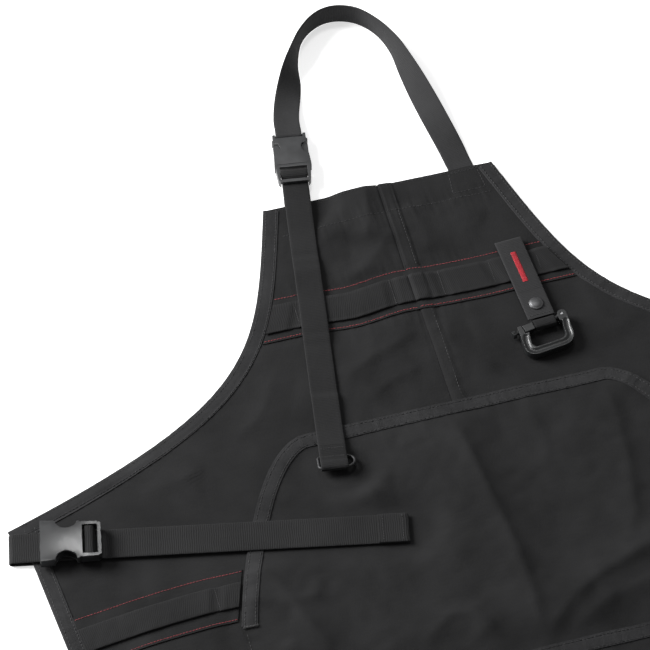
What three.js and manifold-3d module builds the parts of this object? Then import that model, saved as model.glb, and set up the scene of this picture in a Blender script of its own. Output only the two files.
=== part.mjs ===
// A canvas work apron lying flat on its back, with webbing tool loops, a hand-warmer pocket,
// a key tab with a locking ring, a buckled neck strap and a buckled waist belt.
// Millimetres. X runs across the apron, Y towards the neck, Z out of its front.
// The origin is on the back of the centre seam, at the height of the waist corners.
import * as THREE from "three";
import { mergeVertices } from "three/addons/utils/BufferGeometryUtils.js";
import Module from "manifold-3d";

const wasm = await Module();
wasm.setup();

// ---------------------------------------------------------------- driving dimensions
const GAP = 0.3; // between neighbouring solids
const CLOTH = 1.2; // one panel of canvas
const TAPE = 0.9; // a binding, a strip or a pocket layer
const HEMMED = 1.5; // a folded hem, facing or seam on the back
const WEBBING = 1.4; // polyester webbing
const NECK_WIDTH = 25; // neck webbing
const BELT_WIDTH = 30; // waist webbing

const HEM_Y = 300; // top hem of the bib
const HEM_HALF = 112; // half the bib's top width
const WAIST_X = 412; // waist corner
const WAIST_Y = 18;
const SKIRT_Y = -550; // bottom edge
const SKIRT_HALF = 345;
const BINDING_WIDTH = 14;
const BINDING_WALL = 0.7; // tape thickness round the panel's edge

const POCKET_TOP = 44; // hand-warmer pocket
const POCKET_TOP_HALF = 140;
const POCKET_HALF = 246;
const POCKET_OPENING_END = -139; // lower end of each hand opening
const POCKET_BOTTOM = -300;
const LOWER_POCKET_TOP = -228;
const LOWER_POCKET_BOTTOM = -400;

const CHEST_Y = 175; // centre of the chest tool loops
const CHEST_STRIP = 48;
const CHEST_WEBBING = 30;
const CHEST_TACKS = [-113, -20, 27, 76, 122]; // tacked places between the loops
const HIP_Y = -105; // centre of the hip tool loops
const HIP_STRIP = 52;
const HIP_WEBBING = 25;
const HIP_TACK = 260;

// layer heights, from the back
const PANEL_Z = HEMMED + GAP;
const STRIP_Z = PANEL_Z + CLOTH + GAP;
const TOP_TAPE_Z = STRIP_Z + TAPE + GAP;
const LOOP_RISE = 1.1; // how far a tool loop stands off between its tacks
const BELT_Z = TOP_TAPE_Z + TAPE + GAP + WEBBING / 2; // middle of the belt on the front

const NECK_TILT = THREE.MathUtils.degToRad(-8.5);
const NECK_JOINT = new THREE.Vector3(-73, 340, 9); // mouth of the neck buckle
const NECK_TAIL = 348; // from the buckle's mouth to the end of the tail
const BELT_TILT = THREE.MathUtils.degToRad(-11.5);
const BELT_FOLD = new THREE.Vector3(-427, -6, 0); // fold outside the left corner
const BELT_LENGTH = 358;
const SOCKET_START = 28; // belt buckle's mouth, from the fold
const TAB_EDGE = new THREE.Vector3(411, -3, 0); // middle of the right corner's edge
const TAB_TILT = THREE.MathUtils.degToRad(11.5);

const KEY_TILT = THREE.MathUtils.degToRad(3.4);
const KEY_TOP = new THREE.Vector3(100, 202, 0); // fold at the top of the key tab
const KEY_WIDTH = 26;
const KEY_LENGTH = 91;
const SNAP_AT = 76; // snap, from the fold
const RING_TILT = THREE.MathUtils.degToRad(11);
const RING_CENTRE = new THREE.Vector3(104, 103, 9.4); // middle of the ring's gate

// ---------------------------------------------------------------- materials
const finish = (color, roughness, metalness = 0) => ({ color, roughness, metalness });
const CANVAS = finish(0x2b2b2e, 0.9);
const BINDING = finish(0x303034, 0.88);
const STRAP = finish(0x35353a, 0.8);
const PLASTIC = finish(0x3a3c40, 0.35);
const RED = finish(0xb4282f, 0.7);
const STEEL = finish(0x9a9ca0, 0.3, 1);

const apron = new THREE.Group();

// ---------------------------------------------------------------- geometry helpers
function toSolid(geometry) {
  const bare = geometry.clone();
  bare.deleteAttribute("normal");
  bare.deleteAttribute("uv");
  const merged = mergeVertices(bare, 1e-4);
  return new wasm.Manifold(
    new wasm.Mesh({
      numProp: 3,
      vertProperties: new Float32Array(merged.attributes.position.array),
      triVerts: new Uint32Array(merged.index.array),
    }),
  );
}

function toGeometry(solid) {
  const { vertProperties, triVerts } = solid.getMesh();
  const geometry = new THREE.BufferGeometry();
  geometry.setAttribute("position", new THREE.BufferAttribute(vertProperties, 3));
  geometry.setIndex(new THREE.BufferAttribute(triVerts, 1));
  geometry.computeVertexNormals();
  return geometry;
}

const join = (...parts) => toGeometry(parts.map(toSolid).reduce((a, b) => a.add(b)));
const cut = (part, ...tools) =>
  toGeometry(tools.map(toSolid).reduce((a, b) => a.subtract(b), toSolid(part)));

function mesh(name, geometry, look, parent = apron) {
  const made = new THREE.Mesh(geometry, new THREE.MeshStandardMaterial(look));
  made.name = name;
  parent.add(made);
  return made;
}

const points = (list) => list.map(([x, y]) => new THREE.Vector2(x, y));
const mirrored = (list) => list.map((p) => new THREE.Vector2(-p.x, p.y));

// a flat piece from z to z + height
function plate(outline, z, height, holes = []) {
  const shape = new THREE.Shape(outline);
  shape.holes = holes.map((hole) => new THREE.Path(hole));
  return new THREE.ExtrudeGeometry(shape, { depth: height, bevelEnabled: false }).translate(0, 0, z);
}

const box = (x0, x1, y0, y1, z0, z1) =>
  new THREE.BoxGeometry(x1 - x0, y1 - y0, z1 - z0).translate((x0 + x1) / 2, (y0 + y1) / 2, (z0 + z1) / 2);

// a short cylinder along Z from z0 to z1
const disc = (radius, z0, z1, sides = 20) =>
  new THREE.CylinderGeometry(radius, radius, z1 - z0, sides)
    .rotateX(Math.PI / 2)
    .translate(0, 0, (z0 + z1) / 2);

// a bar along X from x0 to x1
const bar = (radius, x0, x1, sides = 12) =>
  new THREE.CylinderGeometry(radius, radius, x1 - x0, sides)
    .rotateZ(Math.PI / 2)
    .translate((x0 + x1) / 2, 0, 0);

function circle(x, y, radius, sides = 20) {
  return Array.from({ length: sides }, (_, i) => {
    const a = (i / sides) * 2 * Math.PI;
    return new THREE.Vector2(x + radius * Math.cos(a), y + radius * Math.sin(a));
  });
}

// points of an arc from angle a0 to a1, in degrees
function arc(x, y, radius, a0, a1, steps) {
  return Array.from({ length: steps + 1 }, (_, i) => {
    const a = THREE.MathUtils.degToRad(a0 + ((a1 - a0) * i) / steps);
    return [x + radius * Math.cos(a), y + radius * Math.sin(a)];
  });
}

// webbing seen from its side: a centre line of [along, up] thickened and as wide as the webbing,
// along local X, centred on local Y
function sideRibbon(path, thickness, width) {
  const line = points(path);
  const offset = (side) =>
    line.map((p, i) => {
      const before = line[Math.max(i - 1, 0)];
      const after = line[Math.min(i + 1, line.length - 1)];
      const t1 = p.clone().sub(before).normalize();
      const t2 = after.clone().sub(p).normalize();
      const t = t1.clone().add(t2).normalize();
      const stretch = 1 / Math.max(0.5, t.dot(i ? t1 : t2));
      return new THREE.Vector2(p.x - t.y * side * stretch, p.y + t.x * side * stretch);
    });
  const outline = [...offset(thickness / 2), ...offset(-thickness / 2).reverse()];
  return plate(outline, 0, width).rotateX(Math.PI / 2).translate(0, width / 2, 0);
}

// a section of [side, up] points carried along frames {at, side, up}
function sweep(section, frames, closed = false) {
  const n = section.length;
  const vertices = frames.flatMap(({ at, side, up }) =>
    section.flatMap(([a, b]) => [
      at.x + side.x * a + up.x * b,
      at.y + side.y * a + up.y * b,
      at.z + side.z * a + up.z * b,
    ]),
  );
  const triangles = [];
  const rings = closed ? frames.length : frames.length - 1;
  for (let i = 0; i < rings; i++) {
    const here = i * n;
    const next = ((i + 1) % frames.length) * n;
    for (let j = 0; j < n; j++) {
      const k = (j + 1) % n;
      triangles.push(here + j, here + k, next + k, here + j, next + k, next + j);
    }
  }
  if (!closed) {
    const last = (frames.length - 1) * n;
    const cap = THREE.ShapeUtils.triangulateShape(points(section), []);
    cap.forEach(([a, b, c]) => triangles.push(a, c, b, last + a, last + b, last + c));
  }
  const geometry = new THREE.BufferGeometry();
  geometry.setAttribute("position", new THREE.Float32BufferAttribute(vertices, 3));
  geometry.setIndex(triangles);
  if (toSolid(geometry).volume() < 0) {
    for (let i = 0; i < triangles.length; i += 3) {
      [triangles[i + 1], triangles[i + 2]] = [triangles[i + 2], triangles[i + 1]];
    }
    geometry.setIndex(triangles);
  }
  return geometry;
}

// frames along a flat outline, with the side direction pointing to its left or right
function edgeFrames(line, outward) {
  const up = new THREE.Vector3(0, 0, 1);
  return line.map((p, i) => {
    const before = line[Math.max(i - 1, 0)];
    const after = line[Math.min(i + 1, line.length - 1)];
    const t = after.clone().sub(before).normalize();
    const side = new THREE.Vector3(t.y * outward, -t.x * outward, 0);
    return { at: new THREE.Vector3(p.x, p.y, 0), side, up };
  });
}

// a lathe turned over by a mirror is put right way out again
function outwards(geometry) {
  const index = Array.from(geometry.index.array);
  const turned = geometry.clone();
  if (toSolid(geometry).volume() < 0) {
    for (let i = 0; i < index.length; i += 3) {
      [index[i + 1], index[i + 2]] = [index[i + 2], index[i + 1]];
    }
    turned.setIndex(index);
  }
  return turned;
}

// ---------------------------------------------------------------- outlines, right half
const armhole = new THREE.CubicBezierCurve(
  new THREE.Vector2(HEM_HALF, HEM_Y),
  new THREE.Vector2(158, 145),
  new THREE.Vector2(166, 92),
  new THREE.Vector2(WAIST_X, WAIST_Y),
).getPoints(20);
const sideEdge = new THREE.QuadraticBezierCurve(
  new THREE.Vector2(WAIST_X, WAIST_Y),
  new THREE.Vector2(408, -60),
  new THREE.Vector2(SKIRT_HALF, SKIRT_Y),
).getPoints(10);
const handOpening = new THREE.CubicBezierCurve(
  new THREE.Vector2(POCKET_TOP_HALF, POCKET_TOP),
  new THREE.Vector2(176, 44.5),
  new THREE.Vector2(220.5, -42),
  new THREE.Vector2(POCKET_HALF, POCKET_OPENING_END),
).getPoints(10);

// ---------------------------------------------------------------- belt and tab routes, seen from the side
function leftBelt() {
  const low = WEBBING / 2 + 0.05;
  const turn = (BELT_Z - low) / 2;
  const fold = arc(turn, low + turn, turn, 270, 90, 8);
  const endTurn = WEBBING / 2 + 0.1;
  const end = arc(BELT_LENGTH - endTurn, BELT_Z + endTurn, endTurn, 270, 450, 6);
  const route = [[45, low], ...fold, ...end, [BELT_LENGTH - 27, BELT_Z + 2 * endTurn]];
  return sideRibbon(route, WEBBING, BELT_WIDTH);
}

// room for a strap end on the back of a corner, cut out of the bindings there
function strapRoom(at, tilt, from, to) {
  const half = BELT_WIDTH / 2 + GAP;
  return box(from, to, -half, half, -1, HEMMED + GAP / 2).rotateZ(tilt).translate(at.x, at.y, 0);
}
const leftRoom = strapRoom(BELT_FOLD, BELT_TILT, -1, 46);
const rightRoom = strapRoom(TAB_EDGE, TAB_TILT, -45, 20);

// ---------------------------------------------------------------- canvas
function panel(outline) {
  return plate(outline, PANEL_Z, CLOTH);
}
const rightOutline = [
  new THREE.Vector2(GAP / 2, HEM_Y),
  ...armhole,
  ...sideEdge.slice(1),
  new THREE.Vector2(GAP / 2, SKIRT_Y),
];
mesh("main_panel_right", panel(rightOutline), CANVAS);
mesh("main_panel_left", panel(mirrored(rightOutline)), CANVAS);

const SEAM_HALF = 6;
const FACING_DEPTH = 34;
const BOTTOM_HEM = 15;
const facingFoot = HEM_Y - FACING_DEPTH;
const hemTop = SKIRT_Y + BOTTOM_HEM;
mesh("centre_seam_tape", box(-SEAM_HALF, SEAM_HALF, hemTop + GAP, facingFoot - GAP, 0, HEMMED), BINDING);

// the facing is notched where the neck webbing is sewn in
const STRAP_INTO_BIB = 28;
const NECK_RIGHT_X = 83;
const loadX = NECK_JOINT.x + (NECK_JOINT.y - HEM_Y + STRAP_INTO_BIB / 2) * Math.tan(NECK_TILT);
const facing = plate(
  points([
    [-97, HEM_Y],
    [97, HEM_Y],
    [102, facingFoot],
    [-102, facingFoot],
  ]),
  0,
  HEMMED,
);
const notchHalf = NECK_WIDTH / 2 + 2.5;
const notch = (x) => box(x - notchHalf, x + notchHalf, HEM_Y - STRAP_INTO_BIB - 4, HEM_Y + 5, -1, HEMMED + 1);
mesh("top_hem_facing", cut(facing, notch(loadX), notch(NECK_RIGHT_X)), CANVAS);
const hemHalf = SKIRT_HALF - BINDING_WIDTH - 2;
mesh("bottom_hem", box(-hemHalf, hemHalf, SKIRT_Y, hemTop, 0, HEMMED), CANVAS);

// ---------------------------------------------------------------- bindings folded over the panel's edges
const wall = GAP + BINDING_WALL;
const bindingTop = STRIP_Z + TAPE;
const foldedTape = [
  [-BINDING_WIDTH, 0],
  [wall, 0],
  [wall, bindingTop],
  [-BINDING_WIDTH, bindingTop],
  [-BINDING_WIDTH, STRIP_Z],
  [GAP, STRIP_Z],
  [GAP, HEMMED],
  [-BINDING_WIDTH, HEMMED],
];
const binding = (line, outward) => sweep(foldedTape, edgeFrames(line, outward));
const lowSide = sideEdge.slice(1);
mesh("armhole_binding_right", cut(binding(armhole, -1), rightRoom), BINDING);
mesh("armhole_binding_left", cut(binding(mirrored(armhole), 1), leftRoom), BINDING);
mesh("side_binding_right", cut(binding(lowSide, -1), rightRoom), BINDING);
mesh("side_binding_left", cut(binding(mirrored(lowSide), 1), leftRoom), BINDING);

// ---------------------------------------------------------------- tool loops
function strip(x0, x1, y, width) {
  return box(x0, x1, y - width / 2, y + width / 2, STRIP_Z, STRIP_Z + TAPE);
}

// webbing that dips to the strip at each tack and stands off between them
function toolLoops(x0, x1, y, width, tacks) {
  const low = TOP_TAPE_Z + WEBBING / 2;
  const route = [[x0, low]];
  tacks.forEach((x) => {
    route.push([x - 5, low + LOOP_RISE], [x - 1, low], [x + 1, low], [x + 5, low + LOOP_RISE]);
  });
  route.push([x1, low + LOOP_RISE]);
  return sideRibbon(route, WEBBING, width).translate(0, y, 0);
}

// what lies beyond the slanted line where a strip ends, along the inner edge of a binding
function beyondBinding(line, y, width) {
  const reach = width / 2 + 2;
  const inner = line.map((point, i) => {
    const ahead = line[Math.min(i + 1, line.length - 1)].clone().sub(line[Math.max(i - 1, 0)]).normalize();
    return new THREE.Vector2(ahead.y, -ahead.x).multiplyScalar(BINDING_WIDTH + GAP).add(point);
  });
  const edgeAt = (height) => {
    const next = inner.findIndex((point) => point.y <= height);
    const [a, b] = [inner[next - 1], inner[next]];
    return THREE.MathUtils.mapLinear(height, a.y, b.y, a.x, b.x);
  };
  const top = edgeAt(y + reach);
  const foot = edgeAt(y - reach);
  const bow = Math.max(0, (top + foot) / 2 - edgeAt(y));
  const far = 2 * SKIRT_HALF;
  return points([
    [top - bow, y + reach],
    [far, y + reach],
    [far, y - reach],
    [foot - bow, y - reach],
  ]);
}
const trim = (outline) => plate(outline, -1, 2 * BELT_Z);

const beyondChest = beyondBinding(armhole, CHEST_Y, CHEST_STRIP);
const chestEnds = [trim(beyondChest), trim(mirrored(beyondChest))];
const chestStrip = strip(-WAIST_X, WAIST_X, CHEST_Y, CHEST_STRIP);
const chestLoops = toolLoops(-WAIST_X, WAIST_X, CHEST_Y, CHEST_WEBBING, CHEST_TACKS);
mesh("chest_base_strip", cut(chestStrip, ...chestEnds), CANVAS);
mesh("chest_webbing", cut(chestLoops, ...chestEnds), STRAP);

const hipTop = HIP_Y + HIP_STRIP / 2;
const hipFoot = HIP_Y - HIP_STRIP / 2;
const beyondHip = beyondBinding(sideEdge, HIP_Y, HIP_STRIP);
const besidePocket = points([
  [0, hipTop],
  [231, hipTop],
  [248, hipFoot],
  [0, hipFoot],
]);

function hipLoops(word, way) {
  const ends = [beyondHip, besidePocket].map((outline) => trim(way > 0 ? outline : mirrored(outline)));
  const [from, to] = way > 0 ? [SKIRT_HALF / 2, WAIST_X] : [-WAIST_X, -SKIRT_HALF / 2];
  mesh(`hip_base_strip_${word}`, cut(strip(from, to, HIP_Y, HIP_STRIP), ...ends), CANVAS);
  const loops = toolLoops(from, to, HIP_Y, HIP_WEBBING, [way * HIP_TACK]);
  mesh(`hip_webbing_${word}`, cut(loops, ...ends), STRAP);
}
hipLoops("right", 1);
hipLoops("left", -1);

// ---------------------------------------------------------------- pockets
const pocketHalf = [...handOpening, new THREE.Vector2(POCKET_HALF, POCKET_BOTTOM)];
mesh("pocket_panel", plate([...pocketHalf, ...mirrored(pocketHalf).reverse()], STRIP_Z, TAPE), CANVAS);

const flatTape = [
  [-BINDING_WIDTH, TOP_TAPE_Z],
  [0, TOP_TAPE_Z],
  [0, TOP_TAPE_Z + TAPE],
  [-BINDING_WIDTH, TOP_TAPE_Z + TAPE],
];
const topTapeHalf = POCKET_TOP_HALF - 3.2; // clear of the side bindings' slanted ends
const pocketTape = box(
  -topTapeHalf,
  topTapeHalf,
  POCKET_TOP - BINDING_WIDTH,
  POCKET_TOP,
  TOP_TAPE_Z,
  TOP_TAPE_Z + TAPE,
);
mesh("pocket_top_binding", pocketTape, BINDING);
mesh("pocket_side_binding_right", sweep(flatTape, edgeFrames(handOpening, -1)), BINDING);
mesh("pocket_side_binding_left", sweep(flatTape, edgeFrames(mirrored(handOpening), 1)), BINDING);

const lowerPocket = box(
  -POCKET_HALF,
  POCKET_HALF,
  LOWER_POCKET_BOTTOM,
  LOWER_POCKET_TOP,
  TOP_TAPE_Z,
  TOP_TAPE_Z + TAPE,
);
mesh("lower_pocket_panel", lowerPocket, CANVAS);
const lowerTapeZ = TOP_TAPE_Z + TAPE + GAP;
const lowerTapeFoot = LOWER_POCKET_TOP - BINDING_WIDTH;
const lowerTape = [-POCKET_HALF, POCKET_HALF, lowerTapeFoot, LOWER_POCKET_TOP, lowerTapeZ, lowerTapeZ + TAPE];
mesh("lower_pocket_binding", box(...lowerTape), BINDING);

// ---------------------------------------------------------------- key tab
const BACK_Z = TOP_TAPE_Z; // the back strip runs behind the chest webbing
const BACK_THICK = 0.8;
const FLAP_Z = 8.3;
const FLAP_THICK = 1;
const FOLD_Z = (FLAP_Z + FLAP_THICK / 2 + BACK_Z + BACK_THICK / 2) / 2;
const RIVET_HOLE = 1.7;
const RIVET = 1.3;

const keyTab = new THREE.Group();
keyTab.position.copy(KEY_TOP);
keyTab.rotation.z = KEY_TILT;
apron.add(keyTab);

const rivetHole = (z0, z1) => disc(RIVET_HOLE, z0, z1, 12).translate(0, -SNAP_AT, 0);
const snapDisc = (radius, z0, z1, sides = 20) => disc(radius, z0, z1, sides).translate(0, -SNAP_AT, 0);
const acrossTab = (geometry) => geometry.rotateZ(-Math.PI / 2);

const foldRadius = FLAP_Z + FLAP_THICK / 2 - FOLD_Z;
const flapRoute = [...arc(0, FOLD_Z, foldRadius, 180, 90, 5), [KEY_LENGTH, FLAP_Z + FLAP_THICK / 2]];
const flap = acrossTab(sideRibbon(flapRoute, FLAP_THICK, KEY_WIDTH));
mesh("key_tab_flap", cut(flap, rivetHole(FLAP_Z - 1, FLAP_Z + 2)), STRAP, keyTab);
const labelZ = FLAP_Z + FLAP_THICK + GAP;
mesh("key_label", box(-3, 3, -49, -13, labelZ, labelZ + 0.4), RED, keyTab);

const capZ = FLAP_Z + FLAP_THICK + GAP;
const capProfile = points([
  [0, capZ - 1.3],
  [RIVET, capZ - 1.3],
  [RIVET, capZ],
  [6.75, capZ],
  [6.75, capZ + 0.6],
  [5.2, capZ + 1.5],
  [2.6, capZ + 1.9],
  [0, capZ + 2],
]);
const capSolid = new THREE.LatheGeometry(capProfile, 20);
capSolid.rotateX(Math.PI / 2).scale(1, -1, 1).translate(0, -SNAP_AT, 0);
mesh("snap_cap", outwards(capSolid), STEEL, keyTab);

const SOCKET_TOP = FLAP_Z - GAP;
const snapHollow = snapDisc(3.4, SOCKET_TOP - 2, SOCKET_TOP - 0.4);
const snapCup = cut(snapDisc(5, SOCKET_TOP - 1.4, SOCKET_TOP), snapHollow);
mesh("snap_socket", snapCup, STEEL, keyTab);
const studZ = BACK_Z + BACK_THICK + GAP;
const studPost = snapDisc(2.9, studZ + 0.4, studZ + 1.7);
mesh("snap_stud", join(snapDisc(4.5, studZ, studZ + 0.5), studPost), STEEL, keyTab);
const rivetZ = BACK_Z - GAP;
const backRivet = join(snapDisc(4.5, rivetZ - 0.9, rivetZ), snapDisc(RIVET, rivetZ - 0.1, rivetZ + 1.1, 12));
mesh("snap_back_rivet", backRivet, STEEL, keyTab);

// the back strip ends in a loop round the ring's gate
const LOOP_WIDTH = 20;
const LOOP_X = 0.6; // beside the tab's middle, so that it clears the gate's latch block and eye
const loopY = KEY_TOP.distanceTo(new THREE.Vector3(RING_CENTRE.x, RING_CENTRE.y, 0));
const loopHole = { y: 4.2, z: 2.6, wall: 0.9 };
const LOOP_CORNER = 1.2;
const rounded = (y, z) =>
  points([
    [-y, LOOP_CORNER - z],
    [LOOP_CORNER - y, -z],
    [y - LOOP_CORNER, -z],
    [y, LOOP_CORNER - z],
    [y, z - LOOP_CORNER],
    [y - LOOP_CORNER, z],
    [LOOP_CORNER - y, z],
    [-y, z - LOOP_CORNER],
  ]);
const loopRing = plate(
  rounded(loopHole.y + loopHole.wall, loopHole.z + loopHole.wall),
  -LOOP_WIDTH / 2,
  LOOP_WIDTH,
  [rounded(loopHole.y, loopHole.z)],
);
loopRing.rotateX(Math.PI / 2).rotateZ(-Math.PI / 2).translate(LOOP_X, -loopY, RING_CENTRE.z);
const backStart = 2.7; // clear of the turning fold
const backHalf = KEY_WIDTH / 2;
const backStrip = box(-backHalf, backHalf, -loopY + loopHole.y, -backStart, BACK_Z, BACK_Z + BACK_THICK);
const neckOfLoop = box(
  LOOP_X - LOOP_WIDTH / 2,
  LOOP_X + LOOP_WIDTH / 2,
  -loopY + loopHole.y,
  -loopY + loopHole.y + loopHole.wall,
  BACK_Z,
  RING_CENTRE.z,
);
const backSolid = cut(join(backStrip, neckOfLoop, loopRing), rivetHole(BACK_Z - 1, BACK_Z + 2));
mesh("key_tab_back", backSolid, STRAP, keyTab);

// ---------------------------------------------------------------- locking ring
const RING_HALF = 24.5;
const RING_FOOT = -33;
const RING_LEAN = 0.19; // the bow's legs lean off square to the gate, sideways for each mm down
const RING_SLANT = 0.07; // and its foot rises away from the pivot
const RING_BAND = 7.5;
const RING_THICK = 8;
const PIVOT_X = 20;
const EYE = 4.5;
const EYE_THICK = 5;
const PIVOT_R = 1.4;
const BLOCK = { x0: -19.8, x1: -10, half: 3.6 };
const PLUNGER_R = 1.5;
const SPRING_LENGTH = 4.6;

const ring = new THREE.Group();
ring.position.copy(RING_CENTRE);
ring.rotation.z = RING_TILT;
apron.add(ring);

const pivotHole = disc(PIVOT_R + GAP, -6, 6, 14).translate(PIVOT_X, 0, 0);
const gateBar = bar(2.1, BLOCK.x1 - 1, PIVOT_X - EYE + 1);
const gateEye = disc(EYE, -EYE_THICK / 2, EYE_THICK / 2).translate(PIVOT_X, 0, 0);
const gateBlock = box(BLOCK.x0, BLOCK.x1, -BLOCK.half, BLOCK.half, -BLOCK.half, BLOCK.half);
const plungerBore = bar(PLUNGER_R + GAP, BLOCK.x0 - 1, BLOCK.x1 - 1.4);
mesh("ring_gate", cut(join(gateBar, gateEye, gateBlock), plungerBore, pivotHole), PLASTIC, ring);

// the bow: one leg ends in a fork round the gate's eye, the other in an open slot for the plunger
const corner = 11;
const inner = { half: RING_HALF - RING_BAND, foot: RING_FOOT + RING_BAND, corner: corner - 5 };
const forkX = BLOCK.x0 - 0.8;
const forkTop = 4;
function leaning([x, y]) {
  const share = THREE.MathUtils.smoothstep(-y, 5, 14);
  return [x + RING_LEAN * y * share, y + RING_SLANT * (PIVOT_X - x) * share];
}
const bowOutline = [
  [-RING_HALF, forkTop],
  ...arc(-RING_HALF + corner, RING_FOOT + corner, corner, 180, 270, 6),
  ...arc(RING_HALF - corner, RING_FOOT + corner, corner, 270, 360, 6),
  ...arc(PIVOT_X, 0, RING_HALF - PIVOT_X, 0, 180, 8),
  [inner.half - 2, -5],
  [inner.half, -7],
  ...arc(inner.half - inner.corner, inner.foot + inner.corner, inner.corner, 360, 270, 4),
  ...arc(-inner.half + inner.corner, inner.foot + inner.corner, inner.corner, 270, 180, 4),
  [-inner.half, -5.2],
  [forkX, -5.2],
  [forkX, forkTop],
];
const eyeRoom = EYE_THICK / 2 + GAP;
const eyeSlot = box(PIVOT_X - EYE - 1, PIVOT_X + EYE + 1, -EYE - 0.8, 8, -eyeRoom, eyeRoom);
const plungerSlot = box(-30, forkX + 1, -PLUNGER_R - GAP, 8, -PLUNGER_R - GAP, PLUNGER_R + GAP);
const bow = plate(points(bowOutline.map(leaning)), -RING_THICK / 2, RING_THICK);
mesh("ring_bow", cut(bow, eyeSlot, plungerSlot, pivotHole), PLASTIC, ring);
const pivotPin = disc(PIVOT_R, -RING_THICK / 2, RING_THICK / 2, 14);
mesh("ring_pivot_pin", pivotPin.translate(PIVOT_X, 0, 0), STEEL, ring);

const boreEnd = BLOCK.x1 - 1.4;
const rodEnd = boreEnd - SPRING_LENGTH - 2 * GAP;
const knob = bar(3.4, -31.5, -28);
const rod = bar(PLUNGER_R, -29, rodEnd);
mesh("ring_plunger", join(knob, rod), PLASTIC, ring);

const springWire = circle(0, 0, 0.3, 6).map((p) => [p.x, p.y]);
const springTurns = 4;
const springSteps = 40;
const springRadius = 1.1;
const springFrames = Array.from({ length: springSteps + 1 }, (_, i) => {
  const a = (i / springSteps) * springTurns * 2 * Math.PI;
  const x = rodEnd + GAP + 0.3 + ((SPRING_LENGTH - 0.6) * i) / springSteps;
  return {
    at: new THREE.Vector3(x, springRadius * Math.cos(a), springRadius * Math.sin(a)),
    side: new THREE.Vector3(0, Math.cos(a), Math.sin(a)),
    up: new THREE.Vector3(1, 0, 0),
  };
});
mesh("ring_plunger_spring", sweep(springWire, springFrames), STEEL, ring);

// ---------------------------------------------------------------- side-release buckles
// Both sizes follow the webbing. In a buckle's own frame the mouth is at Y = 0, the socket lies at
// +Y and the plug's frame at -Y, and Z = 0 is the middle of its thickness.
function buckleSize(webbing) {
  return {
    webbing,
    mouth: 0.71 * webbing, // half width at the mouth
    thick: webbing / 3.2 + 1,
    body: 1.26 * webbing, // depth of the socket's body
    notch: { y: 0.77 * webbing, r: 0.33 * webbing },
    shell: 1.8,
    rail: webbing / 2 + 0.7, // inner half width of a frame
  };
}

const BAR = 4; // width of a middle bar
const BAR_LOW = -0.5;
const BAR_HIGH = 2.5;
const END_BAR = 3.5;

// a frame along Y whose webbing goes over the middle bar and, on an adjustable one, under the end bar
function slider(s, from, sign, tipHalf, adjustable = true) {
  const length = adjustable ? 18 : 5 + BAR + 1.5;
  const y = (v) => from + sign * v;
  const frame = points([
    [-s.rail - 3.8, y(0)],
    [s.rail + 3.8, y(0)],
    [tipHalf, y(length - 3)],
    [tipHalf - 2, y(length)],
    [2 - tipHalf, y(length)],
    [-tipHalf, y(length - 3)],
  ]);
  const across = (a, b, z0, z1, half) =>
    box(-half, half, Math.min(y(a), y(b)), Math.max(y(a), y(b)), z0, z1);
  const opening = across(0, length + 1, -20, 20, s.rail);
  const rails = cut(plate(frame, -s.thick / 2, s.thick), opening);
  const middle = across(5, 5 + BAR, BAR_LOW, BAR_HIGH, s.rail + 1);
  const end = across(length - END_BAR, length, 1.5, s.thick / 2, s.rail + 1);
  return adjustable ? join(rails, middle, end) : join(rails, middle);
}

function socketBody(s) {
  const top = s.mouth - 0.6;
  const shape = plate(
    points([
      [-s.mouth, 0],
      [s.mouth, 0],
      [s.mouth - 0.8, 0.4 * s.webbing],
      [top, s.body - 3],
      [top - 3, s.body],
      [3 - top, s.body],
      [-top, s.body - 3],
      [0.8 - s.mouth, 0.4 * s.webbing],
    ]),
    -s.thick / 2,
    s.thick,
  );
  const inside = s.thick / 2 - s.shell;
  const cavity = box(-s.mouth + 2.4, s.mouth - 2.4, -1, s.body - 4, -inside, inside);
  const notches = [-1, 1].map((side) =>
    plate(circle(side * (s.mouth + 0.5), s.notch.y, s.notch.r, 24), -20, 40),
  );
  return cut(shape, cavity, ...notches);
}

function prong(s, side) {
  const z = s.thick / 2 - s.shell - GAP;
  const arm = s.mouth - 2.8;
  const head = s.mouth - 0.9;
  const low = s.notch.y - s.notch.r + 1;
  const shape = points([
    [arm - 3.4, GAP],
    [arm, GAP],
    [arm - 1, low - 2],
    [arm - 0.6, low],
    [head, low + 0.8],
    [head, s.notch.y + 0.2 * s.webbing],
    [arm - 3, s.notch.y + 0.26 * s.webbing],
    [arm - 6.4, s.notch.y + 0.2 * s.webbing],
    [arm - 4.6, low],
  ]);
  return plate(side > 0 ? shape : mirrored(shape), -z, 2 * z);
}

function plugBody(s, adjustable) {
  const base = box(-s.mouth, s.mouth, -3.5, -0.01, -s.thick / 2, s.thick / 2);
  const blade = box(-2, 2, -1, 0.66 * s.webbing, 1 - s.thick / 4, s.thick / 4 - 1);
  return join(base, blade, slider(s, -3.4, -1, s.mouth - 2.2, adjustable));
}

// ---------------------------------------------------------------- neck strap and its buckle
const neckSize = buckleSize(NECK_WIDTH);
const neckBuckle = new THREE.Group();
neckBuckle.position.copy(NECK_JOINT);
neckBuckle.rotation.z = NECK_TILT;
apron.add(neckBuckle);

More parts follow.
